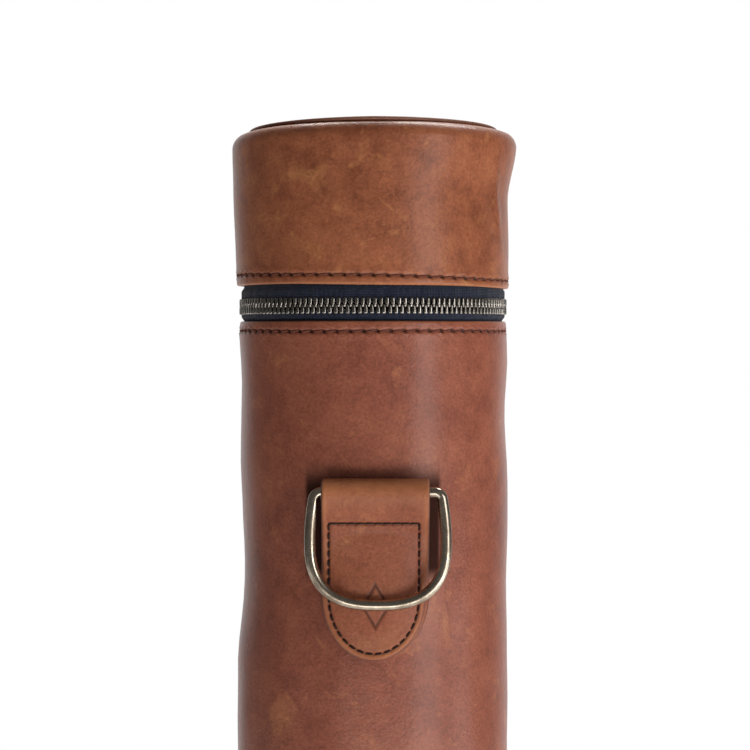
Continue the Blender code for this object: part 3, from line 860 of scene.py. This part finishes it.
def make_body_wall():
    """The body's leather: rolled in under the base and crowned at the top edge."""
    bottom = (CASE_RADIUS - SHOULDER, BODY_BOTTOM + SHOULDER)
    inner_edge = CASE_RADIUS - WALL
    # Rows lie closer above half_fine, where the case is looked at, and closest at the stitches.
    fine = BODY_TOP - 8 * MM
    half_fine = fine - 180 * MM
    outer = [(LIP_RADIUS, BODY_BOTTOM)]
    outer += arc_points(bottom, SHOULDER, -90, 0, 8)[:-1]
    outer += upright_points(CASE_RADIUS, bottom[1], half_fine, 15 * MM)
    outer += upright_points(CASE_RADIUS, half_fine, fine, 7.5 * MM)
    outer += upright_points(CASE_RADIUS, fine, BODY_TOP - CROWN, FINE_ROWS)
    outer += arc_points((CASE_RADIUS - CROWN, BODY_TOP - CROWN), CROWN, 0, 90, 5)
    crown = (inner_edge + INNER_CROWN, BODY_TOP - INNER_CROWN)
    inner = arc_points(crown, INNER_CROWN, 90, 180, 3)
    inner += upright_points(inner_edge, BODY_TOP - 2 * MM, bottom[1], 60 * MM)
    inner += arc_points(bottom, SHOULDER - WALL, 0, -90, 4)
    inner += [(LIP_RADIUS, BODY_BOTTOM + WALL)]

    def skins(angle, radius, height):
        above_base = smoothstep((height - BODY_BOTTOM - 2 * MM) / (12 * MM))
        behind_tab = bell(angle - FRONT, math.radians(24)) * 0.85
        swell = body_swell(angle, height) * above_base * (1 - 0.9 * under_hinge(angle))
        swell = swell * (1 - behind_tab)
        return swell, np.minimum(swell, 0.0)

    def worn(height):
        base = bell(height - BODY_BOTTOM - 2 * MM, 3 * MM)
        return 0.55 * (bell(height - BODY_TOP, 0.9 * MM) + base)

    make_wall(
        "body", "case", BODY_LEATHER, BODY_STITCHES, FRONT + math.radians(1.8), outer, inner,
        body_stitch_height, body_stitch_height, body_swell, skins,
        lambda angle, height: height, worn,
    )


def make_lid_wall():
    """The lid's leather: crowned lower edge, flared wall and turned-in shoulder."""
    top = (CASE_RADIUS - SHOULDER, LID_SHOULDER - SHOULDER)
    inner_edge = CASE_RADIUS - WALL
    fine = LID_BOTTOM + 8 * MM
    outer = arc_points((CASE_RADIUS - CROWN, LID_BOTTOM + CROWN), CROWN, -90, 0, 5)[:-1]
    outer += upright_points(CASE_RADIUS, LID_BOTTOM + CROWN, fine, FINE_ROWS)
    outer += upright_points(CASE_RADIUS, fine, top[1], 2.5 * MM)
    outer += arc_points(top, SHOULDER, 0, 90, 10)
    outer += [(LIP_RADIUS, LID_SHOULDER)]
    inner = [(LIP_RADIUS, LID_SHOULDER - WALL)]
    inner += arc_points(top, SHOULDER - WALL, 90, 0, 4)
    inner += upright_points(inner_edge, top[1] - 4 * MM, LID_BOTTOM + 2 * MM, 12 * MM)
    crown = (inner_edge + INNER_CROWN, LID_BOTTOM + INNER_CROWN)
    inner += arc_points(crown, INNER_CROWN, 180, 270, 3)

    def skins(angle, radius, height):
        from_lip = smoothstep((radius - LIP_RADIUS) / (5 * MM))
        swell = lid_swell(angle, height) * from_lip * (1 - 0.9 * under_hinge(angle))
        return swell, swell

    def height_of(angle, height):
        near_edge = 1 - smoothstep((height - LID_BOTTOM) / (25 * MM))
        near_top = smoothstep((height - LID_SHOULDER + 12 * MM) / (12 * MM))
        shift = lid_edge_shift(angle) * near_edge * (1 - under_hinge(angle))
        return height + shift - lid_top_drop(angle) * near_top

    def worn(height):
        shoulder = 0.7 * bell(height - LID_SHOULDER, 1.6 * MM)
        return 0.6 * (bell(height - LID_BOTTOM, 0.9 * MM) + shoulder)

    make_wall(
        "lid", "lid", LID_LEATHER, LID_STITCHES, FRONT, outer, inner,
        lambda angle: lid_stitch_height(angle) - lid_edge_shift(angle), lid_stitch_height,
        lid_swell, skins, height_of, worn,
    )


def make_end_disc(name, cad_node, body, inside, outside, material, edge_material, slot):
    """A leather disc that closes an end: flat middle, softly crowned and burnished rim."""
    way = 1 if outside > inside else -1
    rim = 0.35 * MM
    section = [(HUB, inside), (TOP_RADIUS - rim, inside)]
    section += [(TOP_RADIUS, inside + way * rim), (TOP_RADIUS, outside - way * rim)]
    section += [(TOP_RADIUS - rim, outside), (TOP_RADIUS - 3 * MM, outside)]
    section += [(r, outside) for r in np.linspace(TOP_RADIUS - 8 * MM, HUB, 8)]
    rows = np.array(section)
    angles = full_turn(240)
    wobble = 1 + 0.002 * np.sin(3 * angles + 1) + 0.001 * np.sin(7 * angles)
    drop = lid_top_drop(angles) if body == "lid" else 0 * angles
    share = rows[:, :1] / TOP_RADIUS
    grid = polar(rows[:, :1] * wobble, angles, rows[:, 1:] - share * drop)
    disc = grid_solid(name, grid, material, 50, open_rows=True)
    disc.data.materials.append(edge_material)
    for face in disc.data.polygons:
        if abs(face.normal.z) < 0.8:
            face.material_index = 1
    place(disc, body, cad_node, slot=slot)


def burnish(sheet, rim):
    """Gives a sheet's rim the cut edge's material; rim marks its points on either skin."""
    sheet.data.materials.append(EDGE)
    on_rim = np.tile(rim.reshape(-1), 2)
    for face in sheet.data.polygons:
        if all(on_rim[v] for v in face.vertices):
            face.material_index = 1


# ---------------------------------------------------------------- zip

def make_tape(name, body, cad_node, side, leather_edge):
    """A zip tape: a corded edge by the teeth and a jog in behind the leather."""
    angles = np.linspace(BACK - 2 * math.pi + TAPE_END, BACK - TAPE_END, 500)
    far = leather_edge + side * 11 * MM
    behind = leather_edge - side * 0.1 * MM
    heights = np.linspace(CHAIN_HEIGHT + side * 1.9 * MM, leather_edge - side * 1.6 * MM, 5)
    section = [(TAPE_SHOWN, z) for z in heights]
    section += [(TAPE_HIDDEN, behind), (TAPE_HIDDEN, far)]
    section += [(TAPE_HIDDEN - TAPE_THICKNESS, z) for z in (far, behind)]
    section += [(TAPE_SHOWN - TAPE_THICKNESS, z) for z in heights[::-1]]
    rows = np.array(section)
    pucker = 0.10 * MM * np.sin(angles * 31) + 0.08 * MM * np.sin(angles * 53 + 1)
    radius = rows[:, :1] + (rows[:, :1] > TAPE_HIDDEN) * pucker
    grid = polar(radius, angles, rows[:, 1:])
    tape = grid_solid(name, grid, TAPE, 50, open_columns=True)
    place(tape, body, cad_node, slot="zip_tape")


def tooth_points(side):
    """One tooth's points as (round the case, outwards, up) from the chain's middle.

    Each section is a rounded oblong; the tooth narrows to a head that reaches past the middle.
    """
    sections = (  # millimetres up, share of the width, share of the depth
        (2.95, 0.62, 0.74),
        (2.80, 0.90, 0.92),
        (2.45, 1.00, 1.00),
        (1.60, 1.00, 1.00),
        (0.95, 0.98, 1.00),
        (0.62, 0.82, 0.96),
        (0.25, 0.62, 0.95),
        (-0.25, 0.60, 0.92),
        (-0.50, 0.50, 0.80),
        (-0.60, 0.30, 0.50),
    )
    cosine, sine = np.cos(full_turn(16)), np.sin(full_turn(16))
    rows = []
    for up, wide, deep in sections:
        across = 0.80 * MM * wide * np.sign(cosine) * np.abs(cosine) ** 0.75
        out = 1.28 * MM * deep * np.sign(sine) * np.abs(sine) ** 0.45
        rows.append(np.stack([across, out, np.full_like(across, side * up * MM)], -1))
    return np.array(rows)


def make_teeth(name, side, body, cad_node, shift):
    """Every tooth on one side of the zip, as one piece."""
    start = BACK - 2 * math.pi + TEETH_END
    step = TOOTH_PITCH / TOOTH_MID
    count = int((BACK - TEETH_END - start) / step)
    round_case, outwards, up = np.moveaxis(tooth_points(side), -1, 0)
    teeth = []
    for i in range(count):
        angle = start + (i + 0.5 + shift) * step
        tilt = random.normal(0, 0.02)
        radius = TOOTH_MID + outwards + random.normal(0, 0.02 * MM)
        teeth.append(polar(radius, angle + (round_case + up * tilt) / TOOTH_MID, CHAIN_HEIGHT + up))
    piece = many_solids(name, np.array(teeth), ZIP_METAL, 60)
    place(piece, body, cad_node, slot="dark_zip_metal")


def refined(name, cad_node, body, width, panels):
    """A CAD piece's own shape with its edges rounded over and its largest faces panelled."""
    mesh = frame["nodes"][cad_node].data.copy()
    mesh.materials.clear()
    mesh.materials.append(ZIP_METAL)
    piece = add_object(name, mesh)
    work = bmesh.new()
    work.from_mesh(mesh)
    bmesh.ops.remove_doubles(work, verts=work.verts, dist=0.01 * MM)
    flat = math.radians(2)
    bmesh.ops.dissolve_limit(work, angle_limit=flat, verts=work.verts, edges=work.edges)
    sharp = [e for e in work.edges if e.is_manifold and e.calc_face_angle() > SHARP]
    bmesh.ops.bevel(
        work, geom=sharp, offset=width, segments=3, profile=0.6, affect="EDGES", clamp_overlap=True
    )
    for face in sorted(work.faces, key=lambda f: f.calc_area())[len(work.faces) - panels:]:
        for border, depth in ((0.9 * MM, 0.0), (0.22 * MM, -0.18 * MM)):
            bmesh.ops.inset_individual(
                work, faces=[face], thickness=border, depth=depth, use_even_offset=True
            )
    work.to_mesh(mesh)
    work.free()
    mesh.shade_smooth()
    mesh.set_sharp_from_angle(angle=SHARP)
    place(piece, body, cad_node, slot="dark_zip_metal")


def make_zip():
    make_tape("lid_zip_tape", "lid", "upper_tape", 1, LID_BOTTOM)
    make_tape("body_zip_tape", "case", "lower_tape", -1, BODY_TOP)
    make_teeth("lid_zip_teeth", 1, "lid", "upper_teeth", 0.0)
    make_teeth("body_zip_teeth", -1, "case", "lower_teeth", 0.5)
    refined("zip_slider", "slider_body", "slider", 0.22 * MM, 0)
    refined("zip_pull", "pull_tab", "pull", 0.25 * MM, 2)
    refined("lid_end_stop", "upper_top_stop", "lid", 0.2 * MM, 0)
    refined("body_end_stop", "lower_top_stop", "case", 0.2 * MM, 0)
    refined("zip_bottom_stop", "bottom_stop", "case", 0.2 * MM, 0)


# ---------------------------------------------------------------- D-rings and tabs

def make_ring(place_name):
    """A D-ring of round wire: straight bar, small corners and a full bow that leans outwards."""
    corner = (RING_TOP_HALF_WIDTH - RING_CORNER, -RING_CORNER)
    right = line_points((0.0, 0.0), (corner[0], 0.0), 2 * MM)
    right += arc_points(corner, RING_CORNER, 90, 0, 10)
    for share in np.linspace(0, 1, 10)[1:-1]:
        spread = (RING_HALF_WIDTH - RING_TOP_HALF_WIDTH) * (1 - (1 - share) ** 2)
        down = RING_CORNER + (RING_WIDEST - RING_CORNER) * share
        right.append((RING_TOP_HALF_WIDTH + spread, -down))
    for turn in np.linspace(0, math.pi / 2, 40):
        across = abs(math.cos(turn)) ** (2 / RING_FULLNESS)
        down = math.sin(turn) ** (2 / RING_FULLNESS)
        right.append((RING_HALF_WIDTH * across, -RING_WIDEST - (RING_DROP - RING_WIDEST) * down))
    left = [(-x, z) for x, z in right[-2:0:-1]]
    path = np.array(right + left)
    forward = unit(np.roll(path, -1, 0) - np.roll(path, 1, 0))
    sideways = np.stack([-forward[:, 1], forward[:, 0]], -1)
    angles = full_turn(28)
    flat = path[:, None] + sideways[:, None] * (RING_WIRE * np.cos(angles))[None, :, None]
    depth = RING_WIRE * np.sin(angles)
    y = depth * math.cos(RING_LEAN) + flat[..., 1] * math.sin(RING_LEAN)
    z = flat[..., 1] * math.cos(RING_LEAN) - depth * math.sin(RING_LEAN)
    grid = np.stack([flat[..., 0], y, z], -1) + np.array(RING_BARS[place_name])
    ring = grid_solid(place_name + "_ring_wire", grid, BRASS)
    place(ring, place_name + "_ring", place_name + "_d_ring", slot="antique_brass")


def tab_path():
    """The middle of the folded strip as (depth, distance below the bar), from its rear end up
    over the fold to its front end, with the normal in that plane and whether it is in front.
    """
    mid = TAB_LAYER / 2
    end_turns = np.radians(np.linspace(86, 0, 44))
    rounded = TAB_ROUND_START + (TAB_LENGTH - TAB_ROUND_START) * np.sin(end_turns)
    straight = np.linspace(TAB_ROUND_START, TAB_CLOSED + 0.4 * MM, 52)[1:]
    lower = np.concatenate([rounded, straight])
    rear = [(mid, below) for below in lower]
    rear += [(mid, below) for below in np.linspace(TAB_CLOSED, 1 * MM, 10)]
    radius = TAB_FOLD - mid
    fold = arc_points((TAB_FOLD, 0.0), radius, 180, 360, 24)
    low = 1.5 * TAB_LAYER + TAB_LAYER_GAP
    high = TAB_FOLD + radius
    shares = np.linspace(0, 1, 42)[1:]
    front = [(high + (low - high) * smoothstep(share), TAB_CLOSED * share) for share in shares]
    front += [(low, below) for below in lower[::-1]]
    path = np.array(rear + fold + front)
    along = np.roll(path, -1, 0) - np.roll(path, 1, 0)
    along[0] = path[1] - path[0]
    along[-1] = path[-1] - path[-2]
    along = unit(along)
    normal = np.stack([-along[:, 1], along[:, 0]], -1)
    is_front = np.arange(len(path)) >= len(rear) + len(fold) // 2
    return path, normal, is_front


def tab_points(place_name, x, below, depth, down):
    """Points on the tab, which curves round the case from a little below its bar.

    below gives how far it has come to curve, and down how far below the bar the point is.
    """
    bend = smoothstep((below - 5 * MM) / (23 * MM))
    on_case = np.sqrt(LAID_RADIUS**2 - (x + TAB_OFFSET) ** 2)
    y = -(LAID_RADIUS + (on_case - LAID_RADIUS) * bend) - depth
    return np.stack([x + TAB_OFFSET, y, RING_BARS[place_name].z - down], -1)


def tab_inside(x, below, half_width, length):
    """Distance in from an outline with straight sides and a round lower end."""
    drop = np.clip(below - TAB_ROUND_START, 0.0, None) / (length - TAB_ROUND_START)
    return (1 - np.sqrt((x / half_width) ** 2 + drop**2)) * half_width


def tab_stitch_path():
    """Points round the tab's stitch line: down one side, round the end and up the other."""
    half = TAB_STITCH_HALF
    drop = TAB_STITCH_END - TAB_ROUND_START
    side = [(half, b) for b in np.linspace(TAB_TOP_STITCH, TAB_ROUND_START, 60)]
    for turn in np.linspace(0, math.pi / 2, 80)[1:]:
        side.append((half * math.cos(turn), TAB_ROUND_START + drop * math.sin(turn)))
    path = np.array(side + [(-x, b) for x, b in side[-2::-1]])
    return path + np.array([TAB_STITCH_SHIFT, 0.0])


def evenly(path, pitch):
    """Points along a path at about this pitch, both ends included."""
    lengths = np.concatenate([[0], np.cumsum(np.linalg.norm(np.diff(path, axis=0), axis=1))])
    count = round(lengths[-1] / pitch)
    at = np.linspace(0, lengths[-1], count + 1)
    return np.stack([np.interp(at, lengths, path[:, 0]), np.interp(at, lengths, path[:, 1])], -1)


def lozenge(x, below):
    """1 along the outline of a plain lozenge in the lower middle of the tab."""
    reach = np.abs(x) / (4.5 * MM) + np.abs(below - 40 * MM) / (7.5 * MM)
    return bell(reach - 1, 0.13)


def tab_face(x, below, inside, holes):
    """The tab's visible face: its relief, its painted shade, and its wear and painted light."""
    from_centre = x - TAB_STITCH_SHIFT
    from_line = tab_inside(from_centre, below, TAB_STITCH_HALF, TAB_STITCH_END)
    from_top = below - TAB_TOP_STITCH
    beside = bell(from_line, 0.55 * MM) * (from_top > 0)
    across_top = np.abs(from_centre) < TAB_STITCH_HALF
    pits = 0 * x
    for hole_x, hole_below in holes:
        pits = np.maximum(pits, bell(x - hole_x, 0.38 * MM) * bell(below - hole_below, 0.38 * MM))
    creases = 0.05 * MM * np.sin(x / (0.9 * MM) + 2 * np.sin(x / (4 * MM)))
    relief = -0.28 * MM * beside
    relief = relief - 0.40 * MM * bell(from_top, 0.6 * MM) * across_top
    relief = relief + 0.14 * MM * bell(from_top + 1.5 * MM, 0.8 * MM) * across_top
    padding = smoothstep(from_line / (7 * MM)) * smoothstep((below - 12 * MM) / (5 * MM))
    relief = relief + 0.25 * MM * padding - 0.5 * MM * pits
    relief = relief + creases * bell(below - 2 * MM, 6 * MM)
    relief = relief - LOZENGE_DEPTH * lozenge(x, below)

    # Painted shade in the stitch holes, along the stitch lines and in the lozenge's pressed line.
    sunk = 0.30 * pits + 0.10 * bell(from_line, 0.30 * MM) * (from_top > 0)
    sunk = sunk + 0.75 * bell(from_top, 0.42 * MM) * across_top + 0.8 * lozenge(x, below)
    # Painted light on the fold's top, a lighter line just inside the edge, and wear at the lower
    # end.
    worn = 0.95 * bell(below + 4 * MM, 6 * MM) + 0.55 * bell(inside - 1.3 * MM, 0.8 * MM)
    worn = worn + 0.3 * bell(below - TAB_LENGTH + 5 * MM, 4 * MM)
    return relief * smoothstep(inside / (1.0 * MM)), sunk, worn


def make_tab(place_name):
    """The leather strip folded round the ring's bar and sewn to itself and the case."""
    path, normal, is_front = tab_path()
    front = is_front[:, None]
    below = path[:, 1:]
    shares = 0.4 * crowded(125) + 0.6 * np.linspace(-1, 1, 125)
    drop = np.clip((below - TAB_ROUND_START) / (TAB_LENGTH - TAB_ROUND_START), 0, 0.9993)
    x = shares * TAB_HALF_WIDTH * np.sqrt(1 - drop**2)
    inside = np.clip(tab_inside(x, below, TAB_HALF_WIDTH, TAB_LENGTH), 0, None)
    narrowing = TAB_NARROWING / 2 * smoothstep((below - 24 * MM) / (13 * MM)) * front
    x = x * (1 - narrowing / TAB_HALF_WIDTH) - narrowing

    half = np.clip(TAB_LAYER / 2 * round_edge(inside, 1.0 * MM), THIN_EDGE, None)
    holes = evenly(tab_stitch_path(), TAB_STITCH_PITCH)
    ends = TAB_STITCH_HALF * np.array([1, -1]) + TAB_STITCH_SHIFT
    top_holes = evenly(np.stack([ends, np.full(2, TAB_TOP_STITCH)], -1), TAB_STITCH_PITCH)
    face = tab_face(x, below, inside, np.concatenate([holes, top_holes[1:-1]]))
    relief, sunk, worn = (part * front for part in face)

    def skin(offset):
        depth = path[:, :1] + normal[:, :1] * offset
        return tab_points(place_name, x, below, depth, below + normal[:, 1:] * offset)

    tab = sheet_solid(place_name + "_tab_leather", skin(-half - relief), skin(half), TAB_LEATHER)
    # Painted shade, then wear and painted light, for the tab's colour.
    mark(tab, "sunk", sunk)
    mark(tab, "worn", worn)
    burnish(tab, inside < 0.45 * MM)
    place(tab, "case", place_name + "_ring_tab", slot="leather_tab")
    make_tab_stitches(place_name, holes, top_holes)


def make_tab_stitches(place_name, holes, top_holes):
    """The thread round the tab and across it under the ring."""
    def on_face(points, lift):
        x, below = points[:, 0], points[:, 1]
        high = 2 * TAB_FOLD
        low = 2 * TAB_LAYER + TAB_LAYER_GAP
        depth = high + (low - high) * smoothstep(below / TAB_CLOSED) + lift
        return tab_points(place_name, x, below, depth, below)

    starts, ends = [], []
    for line, gap in ((holes, STITCH_GAP), (top_holes, 0.03)):
        step = np.diff(line, axis=0)
        starts.append(line[:-1] + step * gap)
        ends.append(line[1:] - step * gap)
    starts, ends = np.concatenate(starts), np.concatenate(ends)
    middles = (starts + ends) / 2
    first, last = on_face(starts, -FLAT_STITCH_DEPTH), on_face(ends, -FLAT_STITCH_DEPTH)
    normals = on_face(middles, 1.0) - on_face(middles, 0.0)
    normals[:, 0] += middles[:, 0] / LAID_RADIUS
    normals = unit(normals)
    sides = unit(np.cross(last - first, normals))
    name = place_name + "_tab_stitches"
    threads = thread_run(name, first, last, normals, sides, THREAD_DARK, TAB_THREAD, 0.30 * MM)
    place(threads, "case", slot="leather_tab")


# ---------------------------------------------------------------- strips at the back

def make_strip(name, half_angle, low, high):
    """A leather strip laid on the back of the case, and the stitches along its edges."""
    half_width = half_angle * LAID_RADIUS
    edge = 1.2 * MM
    inset = 2.4 * MM
    rounding = [edge * (1 - math.cos(a)) for a in np.linspace(0, math.pi / 2, 7)]
    between = np.linspace(low + edge, high - edge, max(30, round((high - low) / (1.2 * MM))))
    rows = [low + r for r in rounding] + list(between[1:-1]) + [high - r for r in rounding[::-1]]
    height = np.array(rows)[:, None]
    side = crowded(49) * half_width
    from_side = half_width - np.abs(side)
    inside = np.minimum(from_side, np.minimum(height - low, high - height))
    half = np.clip(STRIP_THICKNESS / 2 * round_edge(inside, edge), THIN_EDGE, None)
    groove = -0.25 * MM * bell(from_side - inset, 0.6 * MM)
    ripple = 0.10 * MM * np.sin(height * 90) * np.cos(side * 160)
    relief = (groove + ripple) * smoothstep(inside / (1 * MM))
    angle = BACK + side / LAID_RADIUS
    middle = LAID_RADIUS + STRIP_THICKNESS / 2
    front = polar(middle + half + relief, angle, height)
    back = polar(middle - half, angle, height)
    strip = sheet_solid(name, front, back, BODY_LEATHER)
    burnish(strip, inside < 0.4 * MM)

    count = round((high - low - 2 * inset) / (4.9 * MM))
    levels = np.linspace(low + inset, high - inset, count + 1)
    on_strip = LAID_RADIUS + STRIP_THICKNESS - FLAT_STITCH_DEPTH
    turns = BACK + np.array([[-1], [1]]) * (half_width - inset) / LAID_RADIUS
    starts = polar(on_strip, turns, levels[:-1] + 0.6 * MM).reshape(-1, 3)
    ends = polar(on_strip, turns, levels[1:] - 0.6 * MM).reshape(-1, 3)
    normals = np.repeat(polar(1.0, turns[:, 0], 0.0), count, axis=0)
    sides = unit(np.cross(ends - starts, normals))
    return strip, thread_run(name + "_stitches", starts, ends, normals, sides, THREAD_BROWN)


def make_strips():
    """The hinge strip is left where it is made, on no body; the seam strip rides on the body."""
    low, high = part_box("hinge_strip")
    strip, threads = make_strip("hinge_leather", HINGE_STRIP_HALF, low.z, high.z)
    for piece in (strip, threads):
        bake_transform(piece)
    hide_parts("hinge_strip")
    low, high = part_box("seam_strip")
    strip, threads = make_strip("seam_leather", SEAM_STRIP_HALF, low.z, high.z)
    place(strip, "case", "seam_strip", slot="leather_body")
    place(threads, "case", slot="leather_body")


# ---------------------------------------------------------------- inside

def make_body_lining():
    """The body's cloth, which rolls over the core's top edge."""
    low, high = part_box("body_lining")
    inner, outer, top = high.x - LINING_THICKNESS, high.x, high.z
    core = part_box("body_core")[1].x
    roll = (core - inner) / 2
    section = [(inner, low.z), (inner, top)]
    section += arc_points((inner + roll, top + 0.3 * MM), roll, 180, 0, 10)
    section += [(core, top + 0.25 * MM), (outer, top + 0.2 * MM), (outer, low.z)]
    rows = np.array(section)
    angles = full_turn(240)
    near_top = np.clip((rows[:, 1:] - (top - 20 * MM)) / (20 * MM), 0, 1)
    radius = rows[:, :1] + near_top * 0.15 * MM * np.sin(angles * 22)
    cloth_ring = grid_solid("body_lining_cloth", polar(radius, angles, rows[:, 1:]), LINING, 60)
    place(cloth_ring, "case", "body_lining", slot="lining_cloth")


def turned_cloth(name, section, columns):
    rows = np.array(section)
    grid = polar(rows[:, :1], full_turn(columns), rows[:, 1:])
    return grid_solid(name, grid, LINING, 60, open_rows=True)


def make_lid_lining():
    """The lid's cloth, a cup with a rolled lower edge."""
    low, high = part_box("lid_lining")
    inner, outer = high.x - LINING_THICKNESS, high.x
    ceiling = high.z - LINING_THICKNESS
    corner = 2 * MM
    section = [(HUB, ceiling)]
    for radius in np.linspace(6 * MM, inner - 3 * MM, 8):
        section.append((radius, ceiling - 1.2 * MM * (1 - (radius / inner) ** 2)))
    section += arc_points((inner - corner, ceiling - corner), corner, 90, 0, 4)
    section += upright_points(inner, ceiling - 4 * MM, low.z + 1 * MM, 6 * MM)
    section += arc_points((inner + 0.5 * MM, low.z + 0.5 * MM), 0.5 * MM, 180, 360, 6)
    section += [(outer, high.z - 0.3 * MM), (outer - 0.3 * MM, high.z), (HUB, high.z)]
    cup = turned_cloth("lid_lining_cloth", section, 240)
    place(cup, "lid", "lid_lining", slot="lining_cloth")


def make_panel(name, cad_node):
    """A padded panel of the divider: crowned faces, sewn edges and soft quilting."""
    low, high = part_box(cad_node)
    centre = (low + high) / 2
    size = high - low
    wide = 0 if size.x > size.y else 1
    width, thick, tall = size[wide], size[1 - wide], size.z
    side = crowded(41) * width / 2
    height = (tall / 2 * crowded(121))[:, None]
    inside = np.minimum(width / 2 - np.abs(side), tall / 2 - np.abs(height))
    crown = 0.66 + 0.34 * smoothstep((inside - 2 * MM) / (9 * MM))
    seam = 0.45 * MM * bell(inside - 3.6 * MM, 0.7 * MM)
    soft = 0.25 * MM * np.sin(height * 140) * np.sin(side * 180 + 1)
    half = thick / 2 * round_edge(inside, 2.6 * MM) * crown - seam
    half = np.clip(half + soft * np.clip(inside / (6 * MM), 0, 1) - 0.3 * MM, 0.15 * MM, None)

    def skin(offset):
        columns = [None, None, height + centre.z + 0 * side]
        columns[wide] = side + centre[wide] + 0 * height
        columns[1 - wide] = offset + centre[1 - wide]
        return np.stack(columns, -1)

    panel = sheet_solid(name, skin(half), skin(-half), LINING)
    place(panel, "case", cad_node, slot="lining_cloth")


def make_base_pad():
    """The soft pad that the cues stand on."""
    low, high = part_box("base_pad")
    radius = high.x
    section = [(HUB, low.z), (radius - 1 * MM, low.z)]
    section += arc_points((radius - 1.6 * MM, low.z + 2.2 * MM), 1.6 * MM, -45, 0, 3)
    section += arc_points((radius - 2 * MM, high.z - 2.2 * MM), 2 * MM, 0, 90, 6)
    for r in np.linspace(radius - 6 * MM, HUB, 9):
        section.append((r, high.z - 0.4 * MM * (r / radius) ** 2))
    pad = turned_cloth("base_pad_cloth", section, 160)
    place(pad, "case", "base_pad", slot="lining_cloth")


def dress_hidden_boards():
    """The stiff boards keep their CAD shape and take the fibre board's material."""
    for name in ("body_core", "lid_core", "lid_board", "base_board"):
        mesh = frame["nodes"][name].data
        mesh.materials.clear()
        mesh.materials.append(BOARD)


make_floor()
make_studio()
make_camera()
make_body_wall()
make_lid_wall()
make_end_disc(
    "lid_top_disc", "lid_top_leather", "lid", LID_SHOULDER, CASE_TOP, LID_LEATHER, PALE_EDGE,
    "leather_lid",
)
make_end_disc(
    "base_disc", "base_leather", "case", BODY_BOTTOM, 0.0, BODY_LEATHER, EDGE, "leather_body"
)
make_zip()
for ring_place in RING_BARS:
    make_ring(ring_place)
    make_tab(ring_place)
make_strips()
make_body_lining()
make_lid_lining()
for panel_name in ("divider_main", "divider_front", "divider_back"):
    make_panel(panel_name + "_pad", panel_name)
make_base_pad()
dress_hidden_boards()
